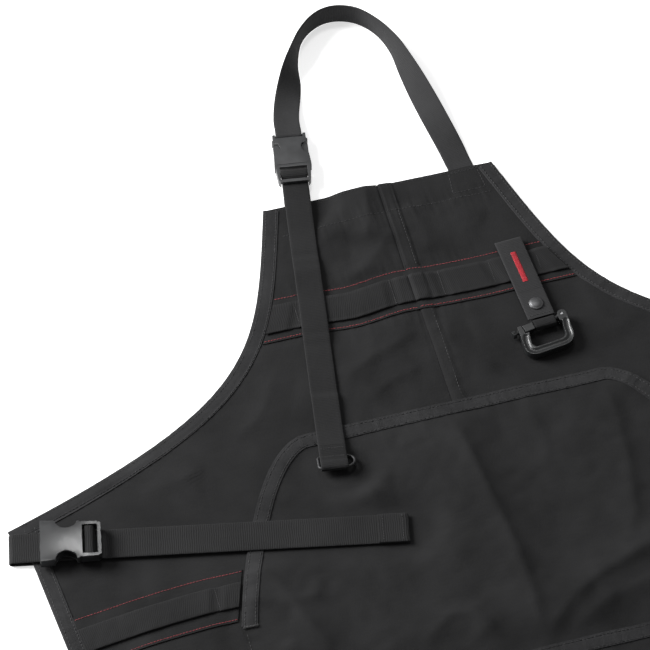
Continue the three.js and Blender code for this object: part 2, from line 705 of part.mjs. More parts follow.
const LOOP_BAR = { y: neckSize.body + 4.2, r: 1.5 };
const CHEEK = { half: 1.4, high: 2.6 };
function cheek(side) {
  const x = side * (neckSize.rail + CHEEK.half);
  const { half, high } = CHEEK;
  return box(x - half, x + half, neckSize.body - 4, LOOP_BAR.y + LOOP_BAR.r, -high, high);
}
const loopBar = bar(LOOP_BAR.r, -neckSize.rail - 1, neckSize.rail + 1).translate(0, LOOP_BAR.y, 0);
mesh("neck_socket", join(socketBody(neckSize), cheek(-1), cheek(1), loopBar), PLASTIC, neckBuckle);
mesh("neck_plug", plugBody(neckSize, true), PLASTIC, neckBuckle);
mesh("neck_prong_left", prong(neckSize, -1), PLASTIC, neckBuckle);
mesh("neck_prong_right", prong(neckSize, 1), PLASTIC, neckBuckle);

// route of webbing over a middle bar, from its slot on the buckle's side; "along" grows away from it
const overBar = (start, foot) => {
  const top = BAR_HIGH + GAP + WEBBING / 2;
  return [
    [start + 3, foot],
    [start + 3, top - 1.3],
    [start + 3.5, top - 0.4],
    [start + 4.6, top],
    [start + 5 + BAR, top],
    [start + 5 + BAR + 1.6, top - 0.9],
  ];
};

// the tail rides on the plug: over the bar, under the end bar, down the bib, folded round a wire ring
const tailZ = 0.5;
const frameEnd = 3.4 + 18;
const wire = 1.3;
const wireTurn = wire + GAP + WEBBING / 2;
const tailEnd = NECK_TAIL - wireTurn - WEBBING / 2;
const tailRoute = [
  ...overBar(3.4, 0.4),
  [frameEnd - 5.4, tailZ],
  [frameEnd + 4, tailZ],
  ...arc(tailEnd, tailZ + wireTurn, wireTurn, 270, 450, 8),
  [tailEnd - 5, tailZ + 2 * wireTurn - 0.4],
  [tailEnd - 9, tailZ + WEBBING + 0.3],
  [tailEnd - 24, tailZ + WEBBING + 0.3],
];
const alongNeck = (geometry) => geometry.rotateZ(-Math.PI / 2);
mesh("neck_strap_tail", alongNeck(sideRibbon(tailRoute, WEBBING, NECK_WIDTH)), STRAP, neckBuckle);

// the load side of the same webbing, from the back of the bib up into the plug's slot
const hemAt = (NECK_JOINT.y - HEM_Y) / Math.cos(NECK_TILT);
const loadLow = WEBBING / 2 + 0.05 - NECK_JOINT.z;
const loadRoute = [
  [3.4 + 3.0, -1.9],
  [3.4 + 8, -2.1],
  [frameEnd, -2.3],
  [hemAt - 6, loadLow + 2.2],
  [hemAt - 2, loadLow + 0.2],
  [hemAt + 1, loadLow],
  [hemAt + STRAP_INTO_BIB, loadLow],
];
mesh("neck_load_webbing", alongNeck(sideRibbon(loadRoute, WEBBING, NECK_WIDTH)), STRAP, neckBuckle);

// wire ring: its lower run lies in the tail's fold and its upper run passes under the tail; its
// right end is round and stands out beside the tail
const ringLeft = -NECK_WIDTH / 2 - 2.9 + wire;
const ringRight = NECK_WIDTH / 2 + 8 - wire;
const ringHalf = 8.2; // half the distance between its two runs
const ringRise = 6.1; // its upper run rests just over the pocket's cloth
const ringCorner = 2.5;
const tiltUp = new THREE.Vector3(0, 2 * ringHalf, -ringRise).normalize();
const ringMid = new THREE.Vector3(0, -tailEnd, tailZ + wireTurn).addScaledVector(tiltUp, ringHalf);
const ringPath = [
  ...arc(ringRight - ringHalf, 0, ringHalf, -90, 90, 8),
  ...arc(ringLeft + ringCorner, ringHalf - ringCorner, ringCorner, 90, 180, 3),
  ...arc(ringLeft + ringCorner, ringCorner - ringHalf, ringCorner, 180, 270, 3),
];
const ringFrames = ringPath.map(([x, v], i) => {
  const [x0, v0] = ringPath[(i + ringPath.length - 1) % ringPath.length];
  const [x1, v1] = ringPath[(i + 1) % ringPath.length];
  const t = new THREE.Vector2(x1 - x0, v1 - v0).normalize();
  const plane = (across, along) => new THREE.Vector3(across, 0, 0).addScaledVector(tiltUp, along);
  const up = new THREE.Vector3(0, -tiltUp.z, tiltUp.y);
  return { at: plane(x, v).add(ringMid), side: plane(t.y, -t.x), up };
});
const wireSection = circle(0, 0, wire, 8).map((p) => [p.x, p.y]);
mesh("tail_d_ring", sweep(wireSection, ringFrames, true), STEEL, neckBuckle);

// neck webbing: flat at both ends, standing on its edge round the back of the neck
const upwards = new THREE.Vector3(0, 0, 1);
const socketEnd = new THREE.Vector3(0, LOOP_BAR.y, 0).applyAxisAngle(upwards, NECK_TILT).add(NECK_JOINT);
const LIFT = NECK_JOINT.z - WEBBING / 2;
const neckStations = [
  // x, y, lift off the floor, roll in degrees
  [socketEnd.x + 1.1, socketEnd.y + 8, LIFT, 0],
  [-60, 396, 5.5, 0],
  [-56, 414, 1.5, 4],
  [-49, 438, 0.1, 30],
  [-40, 464, 0.1, 68],
  [-26, 489, 0.1, 88],
  [-8, 504, 0.1, 90],
  [12, 508, 0.1, 90],
  [33, 500, 0.1, 90],
  [49, 481, 0.1, 88],
  [59, 456, 0.1, 76],
  [64, 428, 0.1, 56],
  [69, 398, 0.1, 36],
  [75, 362, 0.1, 18],
  [80, 330, 0.1, 6],
  [82, 312, 0.1, 0],
  [NECK_RIGHT_X, 301, 0.05, 0],
  [NECK_RIGHT_X, HEM_Y - STRAP_INTO_BIB, 0.05, 0],
];
const neckCurve = new THREE.CatmullRomCurve3(
  neckStations.map(([x, y]) => new THREE.Vector3(x, y, 0)),
  false,
  "centripetal",
);
const NECK_STEPS = 3; // rings between stations
const neckSpans = neckStations.length - 1;
const neckFrames = Array.from({ length: neckSpans * NECK_STEPS + 1 }, (_, i) => {
  const station = Math.min(Math.floor(i / NECK_STEPS), neckSpans - 1);
  const blend = i / NECK_STEPS - station;
  const between = (k) => THREE.MathUtils.lerp(neckStations[station][k], neckStations[station + 1][k], blend);
  const roll = THREE.MathUtils.degToRad(between(3));
  const at = neckCurve.getPoint(i / (neckSpans * NECK_STEPS));
  const tangent = neckCurve.getTangent(i / (neckSpans * NECK_STEPS));
  at.z = between(2) + (NECK_WIDTH / 2) * Math.sin(roll) + (WEBBING / 2) * Math.cos(roll);
  const left = new THREE.Vector3(-tangent.y, tangent.x, 0).normalize();
  const side = new THREE.Vector3(left.x * Math.cos(roll), left.y * Math.cos(roll), Math.sin(roll));
  const up = new THREE.Vector3(-left.x * Math.sin(roll), -left.y * Math.sin(roll), Math.cos(roll));
  return { at, side, up };
});
const ribbonSection = [
  [-NECK_WIDTH / 2, -WEBBING / 2],
  [NECK_WIDTH / 2, -WEBBING / 2],
  [NECK_WIDTH / 2, WEBBING / 2],
  [-NECK_WIDTH / 2, WEBBING / 2],
];
const barTurn = LOOP_BAR.r + GAP + WEBBING / 2;
const bight = sideRibbon(
  [[9, -0.6], [5, -1.6], ...arc(0, 0, barTurn, 290, 70, 10), [5, 1.6], [9, 0.6]],
  WEBBING,
  NECK_WIDTH,
);
bight.rotateZ(Math.PI / 2).translate(0, LOOP_BAR.y, 0).rotateZ(NECK_TILT).translate(...NECK_JOINT.toArray());
mesh("neck_strap", join(sweep(ribbonSection, neckFrames), bight), STRAP);

// ---------------------------------------------------------------- waist belt and its buckle
const beltSize = buckleSize(BELT_WIDTH);
const belt = new THREE.Group();
belt.position.copy(BELT_FOLD);
belt.rotation.z = BELT_TILT;
apron.add(belt);
mesh("waist_strap", leftBelt(), STRAP, belt);

const beltBuckle = new THREE.Group();
beltBuckle.position.set(SOCKET_START, 0, BELT_Z + WEBBING / 2 + GAP + beltSize.thick / 2);
beltBuckle.rotation.z = -Math.PI / 2;
belt.add(beltBuckle);
const ladderFrom = beltSize.body - 1;
const ladder = slider(beltSize, ladderFrom, 1, beltSize.rail + 3);
mesh("waist_socket", join(socketBody(beltSize), ladder), PLASTIC, beltBuckle);
const bightFoot = -beltSize.thick / 2 + 0.1;
const bightEnd = [
  [ladderFrom + 11.6, 0],
  [ladderFrom + 11.8, bightFoot],
];
const bightRoute = [...overBar(ladderFrom, bightFoot), ...bightEnd];
const beltBight = sideRibbon(bightRoute, WEBBING, BELT_WIDTH).rotateZ(Math.PI / 2);
mesh("waist_strap_bight", beltBight, STRAP, beltBuckle);

// short tab on the right corner, through the plug's frame
const tab = new THREE.Group();
tab.position.copy(TAB_EDGE);
tab.rotation.z = TAB_TILT;
apron.add(tab);
const PLUG_Z = 2 + beltSize.thick / 2; // held up by its tab, so that it can swing clear of the table
const PLUG_BAR = 21; // middle bar, from the panel's edge
const barMiddle = PLUG_Z + (BAR_LOW + BAR_HIGH) / 2;
const tabTurn = Math.hypot(BAR / 2, (BAR_HIGH - BAR_LOW) / 2) + GAP + WEBBING / 2;
const tabRoute = [
  [-42, WEBBING / 2 + 0.05],
  [3, WEBBING / 2 + 0.05],
  [10, barMiddle - tabTurn],
  [PLUG_BAR - 2, barMiddle - tabTurn],
  ...arc(PLUG_BAR, barMiddle, tabTurn, 300, 420, 6),
  [PLUG_BAR - 2, barMiddle + tabTurn],
  [16, barMiddle + tabTurn - 0.8],
  [11, TOP_TAPE_Z + 1.6],
  [3, TOP_TAPE_Z + WEBBING / 2],
  [-38, TOP_TAPE_Z + WEBBING / 2],
];
mesh("plug_tab_webbing", sideRibbon(tabRoute, WEBBING, BELT_WIDTH), STRAP, tab);

const tabBuckle = new THREE.Group();
tabBuckle.position.set(PLUG_BAR + 3.4 + 5 + BAR / 2, 0, PLUG_Z);
tabBuckle.rotation.z = -Math.PI / 2;
tab.add(tabBuckle);
mesh("waist_plug", plugBody(beltSize, false), PLASTIC, tabBuckle);
mesh("waist_prong_left", prong(beltSize, -1), PLASTIC, tabBuckle);
mesh("waist_prong_right", prong(beltSize, 1), PLASTIC, tabBuckle);

export default apron;
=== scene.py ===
# A canvas work apron lying flat: waved cloth layers, sewn tapes, ribbed webbing and moulded buckles,
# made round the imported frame. Millimetres in the code, metres in Blender.
import bmesh
import bpy
import math
import numpy as np
from mathutils import Matrix, Vector


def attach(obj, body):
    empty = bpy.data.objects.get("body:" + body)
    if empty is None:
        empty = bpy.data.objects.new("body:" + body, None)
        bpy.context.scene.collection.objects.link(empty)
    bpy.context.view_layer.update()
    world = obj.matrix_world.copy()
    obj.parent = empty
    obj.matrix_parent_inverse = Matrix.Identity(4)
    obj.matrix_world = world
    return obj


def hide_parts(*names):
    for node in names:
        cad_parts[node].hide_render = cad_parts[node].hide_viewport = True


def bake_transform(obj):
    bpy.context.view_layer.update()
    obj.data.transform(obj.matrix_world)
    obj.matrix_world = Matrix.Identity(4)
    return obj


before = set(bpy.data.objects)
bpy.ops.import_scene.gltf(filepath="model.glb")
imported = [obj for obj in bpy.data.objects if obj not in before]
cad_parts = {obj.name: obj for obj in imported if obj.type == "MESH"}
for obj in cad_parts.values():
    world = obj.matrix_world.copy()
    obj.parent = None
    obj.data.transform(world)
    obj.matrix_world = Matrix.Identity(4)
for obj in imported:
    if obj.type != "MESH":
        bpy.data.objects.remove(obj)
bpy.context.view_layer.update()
MM = 0.001
TAU = 2 * math.pi

# ---- places and sizes that the frame has too, mm
CLOTH, TAPE, WEBBING = 1.2, 0.9, 1.4
PANEL_TOP, STRIP_TOP = 3.0, 4.2
HEM_Y, SKIRT_Y = 300.0, -550.0
POCKET_TOP, POCKET_HALF, POCKET_FOOT = 44.0, 246.0, -300.0
LOWER_TOP, LOWER_FOOT = -228.0, -400.0
HEM_FOOT = SKIRT_Y + 15
BINDING = 14.0
NECK_WIDTH, BELT_WIDTH = 25, 30
CHEST_Y, HIP_Y = 175, -105
CHEST_WIDTH, HIP_WIDTH = 30, 25
SEAM_STITCH = 10.4
RING_PIVOT = 20
RING_AT = (104.0, 103.0, 9.4)
RING_ANGLE = math.radians(11)
NECK_ANGLE = math.radians(-8.5)
NECK_JOINT = (-73.0, 340.0, 9.0)
BELT_ANGLE = math.radians(-11.5)
BELT_FOLD = (-427.0, -6.0)
TAB_ANGLE = math.radians(11.5)
TAB_EDGE = (411.0, -3.0)
KEY_ANGLE = math.radians(3.4)
KEY_TOP = (100.0, 202.0)


# ---- curves and waves
def bezier(points, count):
    t = np.linspace(0, 1, count)[:, None]
    p = [np.array(q, float) for q in points]
    if len(p) == 3:
        return (1 - t) ** 2 * p[0] + 2 * t * (1 - t) * p[1] + t**2 * p[2]
    return (1 - t) ** 3 * p[0] + 3 * t * (1 - t) ** 2 * p[1] + 3 * t**2 * (1 - t) * p[2] + t**3 * p[3]


def along(line):
    """How far each point of a polyline is from its start."""
    return np.concatenate([[0], np.cumsum(np.linalg.norm(np.diff(line, axis=0), axis=1))])


def spaced(line, step):
    """The polyline's points again, at even steps of about that length, ends included."""
    line = np.asarray(line, float)
    run = along(line)
    count = max(2, int(round(run[-1] / step)) + 1)
    at = np.linspace(0, run[-1], count)
    return np.stack([np.interp(at, run, line[:, k]) for k in range(line.shape[1])], axis=1)


def smooth(low, high, value):
    t = np.clip((np.asarray(value, float) - low) / (high - low), 0, 1)
    return t * t * (3 - 2 * t)


def waves(x, y, size, seed, count=14):
    """Soft random waves of about that length, between about -2 and 2."""
    draw = np.random.default_rng(seed)
    total = 0
    for _ in range(count):
        turn, phase = draw.uniform(0, TAU, 2)
        pace = TAU / (size * draw.uniform(0.6, 1.6))
        total = total + np.sin(pace * (x * math.cos(turn) + y * math.sin(turn)) + phase)
    return total / math.sqrt(count)


def nearest(x, y, line):
    """Distance from points to a polyline, the side they lie on, and how far along it."""
    best = np.full(np.shape(x), 1e9)
    side = np.zeros(np.shape(x))
    part = np.zeros(np.shape(x))
    run = along(line)
    for i in range(len(line) - 1):
        a, d = line[i], line[i + 1] - line[i]
        t = np.clip(((x - a[0]) * d[0] + (y - a[1]) * d[1]) / (d @ d), 0, 1)
        ex, ey = x - a[0] - t * d[0], y - a[1] - t * d[1]
        gap = np.hypot(ex, ey)
        closer = gap < best
        best = np.where(closer, gap, best)
        side = np.where(closer, np.sign(d[0] * ey - d[1] * ex), side)
        part = np.where(closer, (run[i] + t * (run[i + 1] - run[i])) / run[-1], part)
    return best, side, part


def fold(x, y, line, left, right, height, ends=0.2):
    """A crease along a line, with its own breadth of slope on each side."""
    gap, side, part = nearest(x, y, np.array(line, float))
    slope = np.where(side > 0, left, right)
    taper = smooth(0, ends, part) * smooth(0, ends, 1 - part)
    return height * np.exp(-(np.sqrt(gap**2 + 4) - 2) / slope) * taper


armhole = bezier([(112, 300), (158, 145), (166, 92), (412, 18)], 120)
side_edge = bezier([(412, 18), (408, -60), (345, -550)], 80)
opening = bezier([(140, 44), (176, 44.5), (220.5, -42), (246, -139)], 60)
outline = np.concatenate([armhole, side_edge[1:]])


def panel_half(y):
    return np.interp(-y, -outline[:, 1], outline[:, 0])


def pocket_half(y):
    return np.interp(-y, -opening[:, 1], opening[:, 0])


# creases of the body cloth and of the pocket: line, breadth to its left and right, height before the gain
FOLD_GAIN = 1.5
BODY_FOLDS = [
    ([(-10, 310), (-15, 290), (-20, 260), (-30, 235)], 22, 26, 4.2),
    ([(-70, 195), (-45, 205), (-20, 225), (5, 250)], 9, 16, 1.5),
    ([(20, 275), (30, 240), (25, 210)], 10, 14, 1.5),
    ([(60, 270), (70, 250), (90, 235)], 7, 12, 1.2),
    ([(-100, 260), (-70, 250), (-40, 260)], 12, 9, 1.1),
    ([(-95, 90), (-60, 110), (-5, 130)], 14, 9, 2.0),
    ([(-75, 65), (-50, 80), (-15, 90)], 12, 8, 1.5),
    ([(20, 140), (15, 105), (35, 85), (55, 60)], 9, 13, 1.6),
    ([(150, 150), (160, 110), (185, 75)], 12, 18, 1.6),
    ([(-150, 120), (-170, 80), (-205, 50)], 16, 12, 1.4),
    ([(-190, -10), (-240, 30), (-310, 20)], 14, 22, 1.8),
    ([(210, 40), (260, 30), (330, -20)], 16, 14, 1.8),
    ([(-370, -150), (-330, -190), (-290, -300)], 26, 18, 3.0),
    ([(300, -140), (320, -230), (305, -330)], 22, 16, 3.0),
    ([(-120, -420), (-60, -450), (20, -520)], 26, 18, 3.2),
    ([(170, -415), (120, -460), (90, -530)], 20, 26, 3.0),
]
POCKET_FOLDS = [
    ([(-5, 40), (-5, 10), (0, -30), (5, -80), (10, -130), (10, -180), (5, -230)], 13, 62, 6.0),
    ([(-5, -235), (40, -190), (75, -170), (130, -150), (170, -120)], 30, 12, 4.6),
    ([(30, -220), (80, -195), (120, -185), (180, -170)], 12, 22, 3.2),
    ([(140, 35), (140, -15), (135, -65), (125, -115), (105, -150)], 9, 26, 2.6),
    ([(-115, -5), (-100, -25), (-95, -50), (-80, -90)], 10, 22, 1.6),
    ([(-230, -70), (-205, -100), (-190, -145), (-170, -190)], 12, 9, 2.6),
    ([(-240, -110), (-205, -125), (-160, -125)], 12, 8, 2.0),
    ([(-225, -160), (-190, -180), (-150, -215)], 10, 14, 2.2),
    ([(-100, -200), (-65, -175), (-45, -180), (-25, -210)], 9, 12, 2.4),
    ([(235, -70), (205, -105), (190, -150), (170, -195)], 9, 12, 2.4),
    ([(60, 25), (70, -20), (60, -60)], 12, 16, 1.4),
]
# places that stay flat, because a strap, a buckle, the key tab or the ring lies there: x, y, radii
FLAT = [
    (104, 140, 46, 92),
    (-122, 4, 40, 34),
    (400, 0, 70, 50),
    (-395, 0, 60, 44),
    (-80, 296, 34, 26),
]
BELT_LINE = np.array([(-427.0, -6.0), (-76.0, -77.4)])


def calm(x, y):
    keep = np.ones(np.shape(x))
    for cx, cy, rx, ry in FLAT:
        far = np.sqrt(((x - cx) / rx) ** 2 + ((y - cy) / ry) ** 2)
        keep = keep * smooth(0.75, 1.35, far)
    gap, _, _ = nearest(x, y, BELT_LINE)
    return keep * smooth(18, 42, gap)


def mapped(shape):
    """The same height, read from a grid of places 2 mm apart."""
    cell = 2.0
    xs, ys = np.arange(-450, 451, cell), np.arange(-580, 331, cell)
    table = shape(*np.meshgrid(xs, ys))

    def read(x, y):
        u = np.clip((np.asarray(x, float) - xs[0]) / cell, 0, len(xs) - 1.001)
        v = np.clip((np.asarray(y, float) - ys[0]) / cell, 0, len(ys) - 1.001)
        i, j = u.astype(int), v.astype(int)
        u, v = u - i, v - j
        near = table[j, i] * (1 - u) + table[j, i + 1] * u
        far = table[j + 1, i] * (1 - u) + table[j + 1, i + 1] * u
        return near * (1 - v) + far * v

    return read


calm_at = mapped(calm)


@mapped
def body_lift(x, y):
    """How far the apron's cloth stands above its flat place."""
    x, y = np.asarray(x, float), np.asarray(y, float)
    high = 0.9 * np.abs(waves(x, y, 150, 3)) + 0.4 * np.abs(waves(x, y, 52, 4)) + 0.07 * waves(x, y, 15, 5)
    for line, left, right, height in BODY_FOLDS:
        high = high + fold(x, y, line, left, right, FOLD_GAIN * height)
    edge = smooth(0, 26, panel_half(y) - np.abs(x)) * 0.75 + 0.25
    band = 1 - 0.8 * smooth(34, 22, np.abs(y - CHEST_Y)) * (np.abs(x) < 200)
    under = 1 - 0.6 * smooth(60, 20, y) * smooth(SKIRT_Y + 160, SKIRT_Y + 240, y) * (np.abs(x) < 246)
    return high * calm_at(x, y) * edge * band * under


@mapped
def pocket_lift(x, y):
    """How far the pocket's cloth stands off the cloth under it."""
    x, y = np.asarray(x, float), np.asarray(y, float)
    high = 0.9 * np.abs(waves(x, y, 120, 8)) + 0.45 * np.abs(waves(x, y, 46, 9))
    high = high + 0.08 * waves(x, y, 14, 6) + 0.7
    for line, left, right, height in POCKET_FOLDS:
        high = high + fold(x, y, line, left, right, FOLD_GAIN * height)
    top = smooth(0, 22, POCKET_TOP - y)
    sides = np.where(y < -150, smooth(0, 20, POCKET_HALF - np.abs(x)), 1)
    foot = smooth(POCKET_FOOT + 20, POCKET_FOOT + 110, y)
    return high * calm_at(x, y) * top * sides * foot


def pucker(x, y, line, reach=11.0, deep=0.42, seed=1):
    """Small cross ripples beside a sewn line."""
    gap, side, part = nearest(x, y, line)
    run = along(line)[-1] * part
    draw = np.random.default_rng(seed)
    ripple = 0
    for size in (5.5, 8.0, 12.5, 19.0):
        ripple = ripple + np.sin(TAU * run / size + draw.uniform(0, TAU) + side * 0.7)
    return deep * 0.35 * ripple * np.exp(-gap / reach)


def mirror(line):
    return np.asarray(line) * np.array([-1, 1])


SEWN = [
    (armhole[::6], 11), (mirror(armhole[::6]), 12), (side_edge[::8], 13), (mirror(side_edge[::8]), 14),
    (np.array([(-100.0, 266), (100, 266)]), 15), (np.array([(-125.0, 198), (125, 198)]), 16),
    (np.array([(-125.0, 152), (125, 152)]), 17), (np.array([(11.0, 266), (11, -60)]), 18),
]


@mapped
def body_puckers(x, y):
    return sum(pucker(x, y, line, seed=seed) for line, seed in SEWN) * calm_at(x, y)


@mapped
def pocket_puckers(x, y):
    lines = [opening[::5], mirror(opening[::5]), np.array([(-137.0, 33), (137, 33)])]
    return sum(pucker(x, y, line, seed=20 + i) for i, line in enumerate(lines)) * calm_at(x, y)


def body_z(x, y):
    """Top of the apron's cloth, with the step of the felled centre seam."""
    x, y = np.asarray(x, float), np.asarray(y, float)
    seam = smooth(-0.5, 0.6, x) * smooth(13.6, 11.6, x)
    groove = 0.4 * np.exp(-((x - SEAM_STITCH) / 0.8) ** 2) + 0.8 * np.exp(-((x + 1.2) / 1.0) ** 2)
    return PANEL_TOP + body_lift(x, y) + body_puckers(x, y) + 1.2 * seam - groove


def pocket_z(x, y):
    """Top of the hand pocket's cloth."""
    return STRIP_TOP + body_lift(x, y) + pocket_lift(x, y) + pocket_puckers(x, y)


def lower_z(x, y):
    """Top of the lower pocket's cloth."""
    return pocket_z(x, y) + 1.2 + 0.12 * np.sin(np.asarray(x, float) / 1.1) * smooth(-262, -236, y)


# ---- materials
def node(tree, kind, inputs=None, **settings):
    made = tree.nodes.new("ShaderNode" + kind)
    for key, value in settings.items():
        setattr(made, key, value)
    for key, value in (inputs or {}).items():
        if isinstance(value, bpy.types.NodeSocket):
            tree.links.new(value, made.inputs[key])
        else:
            made.inputs[key].default_value = value
    return made


def maths(tree, operation, first, second=0.0):
    made = node(tree, "Math", {0: first, 1: second}, operation=operation)
    return made.outputs[0]


def material(name):
    made = bpy.data.materials.new(name)
    made.use_nodes = True
    tree = made.node_tree
    return made, tree, tree.nodes["Principled BSDF"]


def placed(name, data):
    made = bpy.data.objects.new(name, data)
    bpy.context.collection.objects.link(made)
    return made


def coloured(tree, shader, tone, low, high, dark, light):
    """The base colour goes from dark to light as the tone goes from low to high."""
    colours = node(tree, "ValToRGB", {0: tone})
    for stop, position, colour in zip(colours.color_ramp.elements, (low, high), (dark, light)):
        stop.position = position
        stop.color = (*colour, 1)
    tree.links.new(colours.outputs[0], shader.inputs["Base Color"])


def mixed(tree, *parts):
    """The sum of values, each times its own share."""
    terms = [maths(tree, "MULTIPLY", value, share) for value, share in parts]
    whole = terms[0]
    for term in terms[1:]:
        whole = maths(tree, "ADD", whole, term)
    return whole


def ranged(tree, target, value, low, high, least, most):
    """A shader's input goes from least to most as the value goes from low to high."""
    span = node(tree, "MapRange", {0: value, 1: low, 2: high, 3: least, 4: most})
    tree.links.new(span.outputs[0], target)


def embossed(tree, shader, height, strength, distance):
    relief = node(tree, "Bump", {"Height": height, "Strength": strength, "Distance": distance * MM})
    tree.links.new(relief.outputs[0], shader.inputs["Normal"])


def grain(tree, where, scale, detail=3.0):
    return node(tree, "TexNoise", {"Vector": where, "Scale": scale, "Detail": detail}).outputs["Fac"]


def stretched(tree, where, scale):
    return node(tree, "Mapping", {"Vector": where, "Scale": scale}).outputs[0]


def weave_of(tree, u, v, kind, pitch):
    """The height of a woven pattern, from -1 to 1, from its place in millimetres."""
    wave_u = maths(tree, "SINE", maths(tree, "MULTIPLY", u, TAU / pitch))
    wave_v = maths(tree, "SINE", maths(tree, "MULTIPLY", v, TAU / pitch))
    if kind == "plain":
        return maths(tree, "MULTIPLY", wave_u, wave_v)
    if kind == "twill":
        slant = maths(tree, "ADD", u, v)
        return maths(tree, "SINE", maths(tree, "MULTIPLY", slant, TAU / pitch))
    fine = maths(tree, "SINE", maths(tree, "MULTIPLY", v, TAU / (pitch * 0.62)))
    return maths(tree, "ADD", wave_u, maths(tree, "MULTIPLY", fine, 0.35))


def cloth(name, dark, light, kind, pitch, relief, roughness, sheen, edge=None):
    """Woven fabric, paler past the edge distance. Its place in mm is the point attribute lay."""
    made, tree, shader = material(name)
    lay = node(tree, "Attribute", attribute_name="lay", attribute_type="GEOMETRY").outputs["Vector"]
    part = node(tree, "SeparateXYZ", {0: lay})
    wander = maths(tree, "MULTIPLY", grain(tree, lay, 0.09), 1.6 * pitch)
    u = maths(tree, "ADD", part.outputs[0], wander)
    v = maths(tree, "ADD", part.outputs[1], wander)
    weave = weave_of(tree, u, v, kind, pitch)
    broad = grain(tree, lay, 0.018, 5.0)
    lint = grain(tree, stretched(tree, lay, (0.9, 0.35, 1)), 1.0, 2.0)
    slub = grain(tree, stretched(tree, lay, (0.06, 1.4, 1)), 1.0, 2.0)
    tone = mixed(tree, (broad, 0.9), (lint, 0.45), (slub, 0.3), (weave, 0.12))
    if edge:
        rubbed = maths(tree, "SUBTRACT", maths(tree, "ABSOLUTE", part.outputs[1]), edge)
        rubbed = maths(tree, "MULTIPLY", maths(tree, "MAXIMUM", rubbed, 0.0), 0.35)
        tone = maths(tree, "ADD", tone, rubbed)
    coloured(tree, shader, tone, 0.45, 1.0, dark, light)
    ranged(tree, shader.inputs["Roughness"], lint, 0.2, 0.8, roughness - 0.08, roughness + 0.06)
    shader.inputs["Sheen Weight"].default_value = sheen
    shader.inputs["Sheen Roughness"].default_value = 0.45
    shader.inputs["Specular IOR Level"].default_value = 0.16
    threads = node(tree, "Bump", {"Height": weave, "Strength": 1.0, "Distance": relief * MM})
    fuzz = {"Height": lint, "Strength": 0.6, "Distance": 0.25 * MM, "Normal": threads.outputs[0]}
    fuzz = node(tree, "Bump", fuzz)
    tree.links.new(fuzz.outputs[0], shader.inputs["Normal"])
    return made


canvas = cloth(
    "canvas_weave", (0.0055, 0.0055, 0.0057), (0.0165, 0.0165, 0.017), "plain", 0.9, 0.05, 0.9, 0.03
)
tape = cloth(
    "tape_twill", (0.009, 0.009, 0.0095), (0.027, 0.027, 0.028), "twill", 1.1, 0.07, 0.88, 0.04, 11.0
)
webbing = cloth(
    "ribbed_webbing", (0.007, 0.007, 0.0073), (0.0165, 0.0165, 0.017), "rib", 1.7, 0.06, 0.84, 0.025, 11.5
)
pale_webbing = cloth(
    "neck_webbing", (0.014, 0.014, 0.0145), (0.029, 0.029, 0.03), "rib", 1.7, 0.06, 0.84, 0.03, 11.5
)
heavy = cloth(
    "belt_webbing", (0.0078, 0.0078, 0.008), (0.0175, 0.0175, 0.018), "rib", 2.0, 0.075, 0.8, 0.025, 14.0
)


def thread(name, dark, light, roughness):
    made, tree, shader = material(name)
    place = node(tree, "TexCoord").outputs["Object"]
    wave = {"Vector": place, "Scale": 900.0, "Distortion": 1.0}
    twist = node(tree, "TexWave", wave, bands_direction="DIAGONAL").outputs["Fac"]
    tone = mixed(tree, (twist, 0.35), (grain(tree, place, 160.0), 0.8))
    coloured(tree, shader, tone, 0.3, 0.9, dark, light)
    shader.inputs["Roughness"].default_value = roughness
    shader.inputs["Sheen Weight"].default_value = 0.2
    embossed(tree, shader, twist, 0.7, 0.08)
    return made


red_thread = thread("red_stitching", (0.12, 0.006, 0.012), (0.42, 0.035, 0.045), 0.55)
label_thread = thread("red_mark_stitching", (0.26, 0.002, 0.01), (0.6, 0.012, 0.03), 0.5)
black_thread = thread("black_stitching", (0.005, 0.005, 0.0055), (0.016, 0.016, 0.017), 0.75)


def moulded(name, dark, light, roughness, coat):
    made, tree, shader = material(name)
    place = node(tree, "TexCoord").outputs["Object"]
    cloudy = grain(tree, place, 90.0, 4.0)
    scuff = grain(tree, stretched(tree, place, (240, 90, 240)), 1.0, 2.0)
    coloured(tree, shader, cloudy, 0.35, 0.7, dark, light)
    ranged(tree, shader.inputs["Roughness"], scuff, 0.3, 0.75, roughness - 0.05, roughness + 0.09)
    shader.inputs["Coat Weight"].default_value = coat
    shader.inputs["Coat Roughness"].default_value = 0.22
    embossed(tree, shader, grain(tree, place, 900.0, 2.0), 0.5, 0.006)
    return made


satin_plastic = moulded("satin_plastic", (0.018, 0.0185, 0.0195), (0.03, 0.031, 0.0325), 0.44, 0.1)
bright_plastic = moulded("bright_plastic", (0.014, 0.0145, 0.015), (0.022, 0.023, 0.0245), 0.33, 0.5)
ring_plastic = moulded("ring_plastic", (0.008, 0.0085, 0.009), (0.0135, 0.0145, 0.015), 0.36, 0.25)


def metal(name, dark, light, roughness):
    made, tree, shader = material(name)
    place = node(tree, "TexCoord").outputs["Object"]
    brushed = grain(tree, stretched(tree, place, (160, 2600, 900)), 1.0, 3.0)
    coloured(tree, shader, brushed, 0.0, 1.0, dark, light)
    shader.inputs["Metallic"].default_value = 1.0
    ranged(tree, shader.inputs["Roughness"], brushed, 0.2, 0.8, roughness - 0.06, roughness + 0.1)
    embossed(tree, shader, brushed, 0.3, 0.02)
    return made


steel = metal("nickel_steel", (0.2, 0.2, 0.21), (0.5, 0.5, 0.51), 0.3)
grey_metal = metal("grey_plated_wire", (0.05, 0.05, 0.052), (0.09, 0.09, 0.092), 0.58)
dark_metal = metal("blackened_metal", (0.08, 0.081, 0.083), (0.16, 0.16, 0.165), 0.46)


